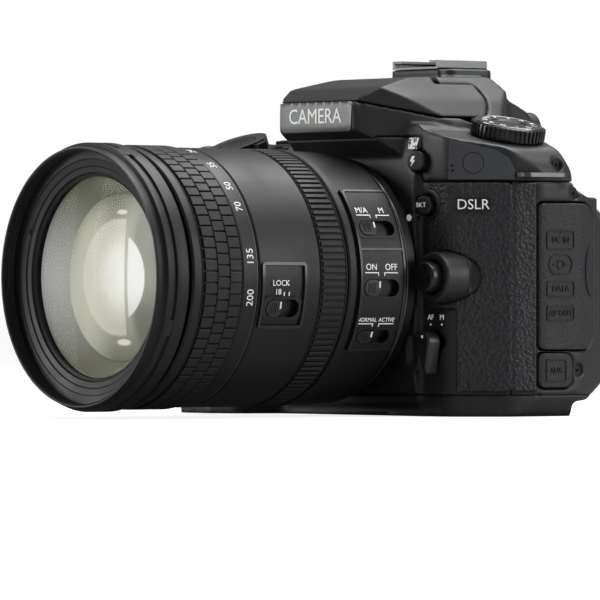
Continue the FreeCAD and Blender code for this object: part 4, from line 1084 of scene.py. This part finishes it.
def buildButtonMarks():
    capMark("flashBolt", bolt, "flash_button", "flash_button")
    capMark("bracketWord", flatText("BKT", 1.9), "bracket_button", "bracket_button")
    play = polygonPart([(-0.7, -1.0), (1.0, 0.0), (-0.7, 1.0)])
    capMark("playMark", play, "playback_button", "playback_button")
    capMark("menuMark", merged([bar(-1.1, 1.1, 0.5, 0.8), bar(-1.1, 1.1, -0.15, 0.15),
                                bar(-1.1, 1.1, -0.8, -0.5)]),
            "menu_button", "menu_button")
    glass = merged([ringPart(-0.25, 0.25, 0.65, 0.95, 20), bar(0.35, 1.35, -0.7, -0.4)])
    capMark("zoomMark", glass, "zoom_button", "zoom_button")
    capMark("liveMark", frameOf(2.6, 1.8, 0.3, 0.28), "live_view_button", "live_view_button")


def buildPortMarks():
    tree = bvhOf(casing["connector_cover"])
    parts = []
    rows = (("DC IN", 50.6, 5.4, 10.4), ("", 43.6, 6.2, 9.0), ("DATA", 36.6, 4.6, 10.4),
            ("AV OUT", 29.6, 4.4, 10.4))
    plug = merged([ringPart(0, 0, 1.0, 1.4, 20), bar(-3, -1.6, -0.2, 0.2), bar(1.6, 3, -0.2, 0.2)])
    for word, z, height, width in rows:
        border = frameOf(width, height, 0.8 if word else 3.0, 0.4)
        letters = flatText(word, 2.4, 0.02) if word else plug
        parts += [shifted(border, 0, z - 40), shifted(letters, 0, z - 40)]
    piece = markOnSurface("portLabels", merged(parts), tree, bodyPoint(57.8, 32.8, 40), Vector((0, 1, 0)),
                          Vector((0, 0, 1)), 0.28, 0.2, 6)
    finishPiece(piece, "connector_cover", material["rubber"])
    turns = [math.radians(a) for a in range(0, 181, 12)]
    notch = [(3.4 - 3.4 * math.sin(a), 7.2 * math.cos(a)) for a in turns]
    grip = markOnSurface("portGrip", polygonPart(notch), tree, bodyPoint(57.0, 42.6, 41.8),
                         Vector((-0.36, 0.93, 0)), Vector((0, 0, 1)), 0.3, 0.2, 6)
    finishPiece(grip, "connector_cover", material["button"])
    small = bvhOf(casing["remote_cover"])
    label = merged([frameOf(7.6, 6.4, 0.7, 0.35), shifted(flatText("AUX", 2.2, 0.02), 0, 0)])
    piece = markOnSurface("remoteLabel", label, small, bodyPoint(57.8, 31.2, 13.2), Vector((0, 1, 0)),
                          Vector((0, 0, 1)), 0.25, 0.2, 6)
    finishPiece(piece, "remote_cover", material["rubber"])


lever = {"centre": (36.5, 0, 21.3), "front": -1.2, "back": 3.0, "radius": 3.0, "tip": (0.9, -8.4),
         "tipRadius": 0.75}


def buildFocusLever():
    s = lever
    tip = Vector(s["tip"])
    lean = math.atan2(tip.y, tip.x)
    outline = []
    for k in range(25):
        a = lean + math.radians(75) + math.radians(210) * k / 24
        outline.append((s["radius"] * math.cos(a), s["radius"] * math.sin(a)))
    for k in range(9):
        a = lean - math.radians(80) + math.radians(160) * k / 8
        outline.append((tip.x + s["tipRadius"] * math.cos(a), tip.y + s["tipRadius"] * math.sin(a)))
    x, y, z = s["centre"]
    rings = ((s["back"], 1.0), (s["front"] + 0.5, 1.0), (s["front"], 0.86))
    verts = [bodyPoint(x + px * scale, y + depth, z + pz * scale)
             for depth, scale in rings for px, pz in outline]
    n = len(outline)
    faces = [tuple(range(n)), tuple(range(3 * n - 1, 2 * n - 1, -1))]
    for level in range(2):
        for i in range(n):
            j = (i + 1) % n
            faces.append((level * n + i, (level + 1) * n + i, (level + 1) * n + j, level * n + j))
    piece = newObject("focusLever", meshFromLists("focusLever", verts, faces))
    fixNormals(piece)
    finishPiece(shadeSoft(piece, 30), "focus_mode_lever", material["button"], "focus_mode_lever")
    dotVerts, dotFaces = disc(0.2, 1.6, 0.42)
    low = [bodyPoint(x + v.x, s["front"] + 0.05, z + v.y) for v in dotVerts]
    high = [bodyPoint(x + v.x, s["front"] - 0.06, z + v.y) for v in dotVerts]
    dot = solidMark("leverDot", low, high, dotFaces)
    fixNormals(dot)
    finishPiece(dot, "focus_mode_lever", material["paint"])


slideSwitches = (
    # body, slot middle behind the rim, turn in degrees, slot length and height
    ("zoom_lock_switch", 44.3, 103.5, 12.0, 5.4), ("lens_focus_switch", 80.0, 68.0, 13.0, 4.8),
    ("stabiliser_switch", 79.7, 94.5, 13.0, 5.2), ("stabiliser_mode_switch", 79.5, 116.5, 12.0, 4.4))


def knobOnLens(name, d, turn, length, height, low, high):
    outline = roundedPlate(length, height, height / 2 - 0.01, 6)
    verts, faces = subdividedFlat(outline, 2.0)
    under = [lensPoint(d + v.x, low, turn - v.y / high) for v in verts]
    over = [lensPoint(d + v.x, high, turn - v.y / high) for v in verts]
    piece = solidMark(name, under, over, faces)
    fixNormals(piece)
    return shadeSoft(piece, 35)


def buildSwitches():
    panelR = barrelShape["panelR"]
    for body, middle, degrees, length, height in slideSwitches:
        turn = math.radians(degrees)
        outer = roundedPlate(length + 1.4, height + 1.4, 1.7, 6)[0]
        inner = roundedPlate(length - 0.2, height - 0.2, height / 2 - 0.11, 6)[0]
        rim = markOnLens(body + "Rim", stripBetween(outer, inner), middle, turn, panelR + 0.05, 0.0, 0.12)
        finishPiece(shadeSoft(rim, 30), "lens", material["barrel"])
        knobLength = length * 0.46
        knobD = middle - length / 2 + 0.3 + knobLength / 2
        parts = [knobOnLens(body + "Knob", knobD, turn, knobLength, height - 0.6, 36.0, 37.9)]
        for k in range(4):
            rib = bar(-0.16, 0.16, -height * 0.28, height * 0.28)
            parts.append(markOnLens("rib", rib, knobD - 1.5 + k * 0.75, turn, 37.9, 0.0, 0.16))
        finishPiece(joinMeshes(body + "Knob", parts), body, material["gloss"], body)
        index = markOnLens(body + "Index", bar(-0.2, 0.2, 0.0, height * 0.36), knobD + knobLength / 2 - 0.75,
                           turn, 37.9, 0.0, 0.2)
        finishPiece(index, body, material["paint"])


dial = {"centre": (42.0, 26.9, 84.6), "tilt": 13.0, "radius": 10.8, "height": 4.4, "ribs": 46}


def dialMatrix():
    # takes +Y to the dial's axis, with the top of the dial at y = 0
    axis = Vector((math.sin(math.radians(dial["tilt"])), 0, math.cos(math.radians(dial["tilt"]))))
    turn = Vector((0, 1, 0)).rotation_difference(axis).to_matrix().to_4x4()
    return Matrix.Translation(bodyPoint(*dial["centre"])) @ turn


def spunAbout(name, profile, matrix, segments=96):
    # closed (height, radius) outline turned about +Y, then placed
    points = roundedProfile(profile, 0.25, 3)
    verts = []
    for k in range(segments):
        a = 2 * math.pi * k / segments
        verts += [Vector((p.y * math.sin(a), p.x, p.y * math.cos(a))) * mm for p in points]
    obj = newObject(name, meshFromLists(name, verts, ringFaces(segments, len(points))))
    placeMesh(obj, matrix)
    fixNormals(obj)
    return shadeSoft(obj, 35)


def buildModeDial():
    matrix = dialMatrix()
    r = dial["radius"]
    core = spunAbout("dialCore", [(-dial["height"], 0.02), (-dial["height"], r - 0.4), (-0.7, r - 0.55),
                                  (-0.05, r - 1.5), (-0.05, 5.2), (-0.45, 4.9), (-0.45, 0.02)], matrix)
    ribs = ringOfBlocks("dialRibs", {
        "Around": dial["ribs"], "Rows": 1, "Row Pitch": 0.01, "Start": -2.45 * mm, "Radius": (r - 0.45) * mm,
        "Stagger": 0.0, "Block Size": (0.8 * mm, 3.5 * mm, 0.72 * mm), "Top Scale": 0.7,
        "Material": material["gloss"]})
    placeMesh(ribs, matrix)
    whole = joinMeshes("modeDial", [core, ribs])
    shadeSoft(whole, 30)
    finishPiece(whole, "mode_dial", material["gloss"], "mode_dial")
    ring = spunAbout("dialRing", [(-0.3, 9.2), (0.0, 9.25), (0.0, 9.55), (-0.35, 9.65)], matrix)
    finishPiece(ring, "mode_dial", material["polished"])

    parts = []
    words = ("M", "A", "S", "P", "AUTO", "*", "#", "+", "1", "2", "3")
    symbols = {"*": ringPart(0, 0, 0.5, 0.8, 16), "#": polygonPart([(-0.8, -0.6), (0.8, -0.6), (0, 0.9)]),
               "+": frameOf(1.6, 1.3, 0.25, 0.25)}
    for i, word in enumerate(words):
        if word in symbols:
            part = symbols[word]
        else:
            part = flatText(word, 2.3 if len(word) == 1 else 1.5, 0.02)
        angle = 2 * math.pi * i / len(words)
        parts.append(shifted(([v + Vector((0, 7.2, 0)) for v in part[0]], part[1]), 0, 0, angle))
    verts, faces = merged(parts)
    low = [matrix @ (Vector((v.x, -0.1, -v.y)) * mm) for v in verts]
    high = [matrix @ (Vector((v.x, 0.03, -v.y)) * mm) for v in verts]
    letters = solidMark("dialLetters", low, high, faces)
    fixNormals(letters)
    finishPiece(letters, "mode_dial", material["paint"])


buildFrontMarks()
buildButtonMarks()
buildPortMarks()
buildFocusLever()
buildSwitches()
buildModeDial()
print("plates, marks and dial made")

kept = {
    "flash_window": "clearWindow", "body_mount_ring": "polished", "mirror_box": "inner",
    "shutter_unit": "inner", "image_sensor": "sensorGlass", "pentaprism": "clearWindow",
    "eyepiece_lens": "clearWindow", "rear_display": "screen", "top_display": "screen",
    "main_board": "board", "hot_shoe": "steel", "strap_eyelets": "steel", "casing_screws": "darkSteel",
    "tripod_bush": "steel", "battery": "cell", "memory_card": "card", "reflex_mirror": "silver",
    "shutter_button": "darkSteel", "power_switch": "gloss", "front_command_dial": "rubber",
    "rear_command_dial": "rubber", "flash_button": "button", "bracket_button": "button",
    "lens_release_button": "gloss", "preview_button": "button", "function_button": "button",
    "multi_selector": "button", "menu_button": "button", "playback_button": "button",
    "zoom_button": "button", "live_view_button": "button", "metering_button": "button",
    "exposure_button": "button", "lens_mount": "polished", "middle_tube": "barrel",
    "rear_lens_group": "innerGlass",
}
for node, look in kept.items():
    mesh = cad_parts[node].data
    mesh.materials.clear()
    mesh.materials.append(material[look])


def buildStage():
    size = 6.0
    corners = [(-size, -size, 0), (size, -size, 0), (size, size, 0), (-size, size, 0)]
    floor = newObject("floor", meshFromLists("floor", corners, [(0, 1, 2, 3)]))
    mat, tree, shader = plainMaterial("paleFloor")
    noise = addNode(tree, "ShaderNodeTexNoise", {"Scale": 4.0})
    mix = addNode(tree, "ShaderNodeMix", {6: (0.42, 0.42, 0.42, 1), 7: (0.46, 0.46, 0.46, 1)},
                  data_type="RGBA")
    seen = addNode(tree, "ShaderNodeLightPath")
    glow = addNode(tree, "ShaderNodeMath", {1: 0.82}, operation="MULTIPLY")
    setInputs(shader, {"Roughness": 0.7, "Emission Color": (1, 1, 1, 1)})
    linkNodes(tree, [
        (noise.outputs["Fac"], mix.inputs[0]), (mix.outputs[2], shader.inputs["Base Color"]),
        (seen.outputs["Is Camera Ray"], glow.inputs[0]),
        (glow.outputs[0], shader.inputs["Emission Strength"]),
    ])
    floor.data.materials.append(mat)


def softbox(name, place, target, size, power):
    light = bpy.data.lights.new(name, "AREA")
    light.shape = "RECTANGLE"
    light.size = size[0]
    light.size_y = size[1]
    light.energy = power
    obj = bpy.data.objects.new(name, light)
    obj.location = place
    obj.rotation_euler = (Vector(target) - Vector(place)).to_track_quat("-Z", "Y").to_euler()
    bpy.context.scene.collection.objects.link(obj)


view = {"turn": 51.5, "distance": 2.0, "aim": (-8.1, -10.2, 33.4), "focal": 413.5}


def buildCamera():
    turn = math.radians(view["turn"])
    forward = Vector((-math.sin(turn), math.cos(turn), 0))
    aim = bodyPoint(*view["aim"])
    data = bpy.data.cameras.new("camera")
    data.lens = view["focal"]
    data.sensor_width = 36
    data.clip_start = 0.05
    data.clip_end = 50
    obj = bpy.data.objects.new("camera", data)
    obj.location = aim - forward * view["distance"]
    obj.rotation_euler = forward.to_track_quat("-Z", "Y").to_euler()
    bpy.context.scene.collection.objects.link(obj)
    bpy.context.scene.camera = obj


def buildLights():
    world = bpy.data.worlds.new("studio")
    world.use_nodes = True
    tree = world.node_tree
    around = tree.nodes["Background"]
    setInputs(around, {0: (1, 1, 1, 1), 1: 0.24})
    behind = addNode(tree, "ShaderNodeBackground", {0: (1, 1, 1, 1), 1: 1.0})
    seen = addNode(tree, "ShaderNodeLightPath")
    mix = addNode(tree, "ShaderNodeMixShader")
    linkNodes(tree, [(seen.outputs["Is Camera Ray"], mix.inputs[0]), (around.outputs[0], mix.inputs[1]),
                     (behind.outputs[0], mix.inputs[2]),
                     (mix.outputs[0], tree.nodes["World Output"].inputs[0])])
    bpy.context.scene.world = world
    softbox("overhead", (0.05, 0.25, 0.75), (0, 0, 0.06), (0.8, 0.5), 7.5)
    softbox("leftFront", (-0.55, -0.75, 0.22), (0, -0.08, 0.04), (0.35, 0.7), 5)
    softbox("rightSide", (0.9, 0.55, 0.35), (0.05, 0.02, 0.05), (0.35, 0.6), 3.5)


buildStage()
buildCamera()
buildLights()
print("stage, camera and lights made")
bpy.context.scene.view_settings.view_transform = "Standard"
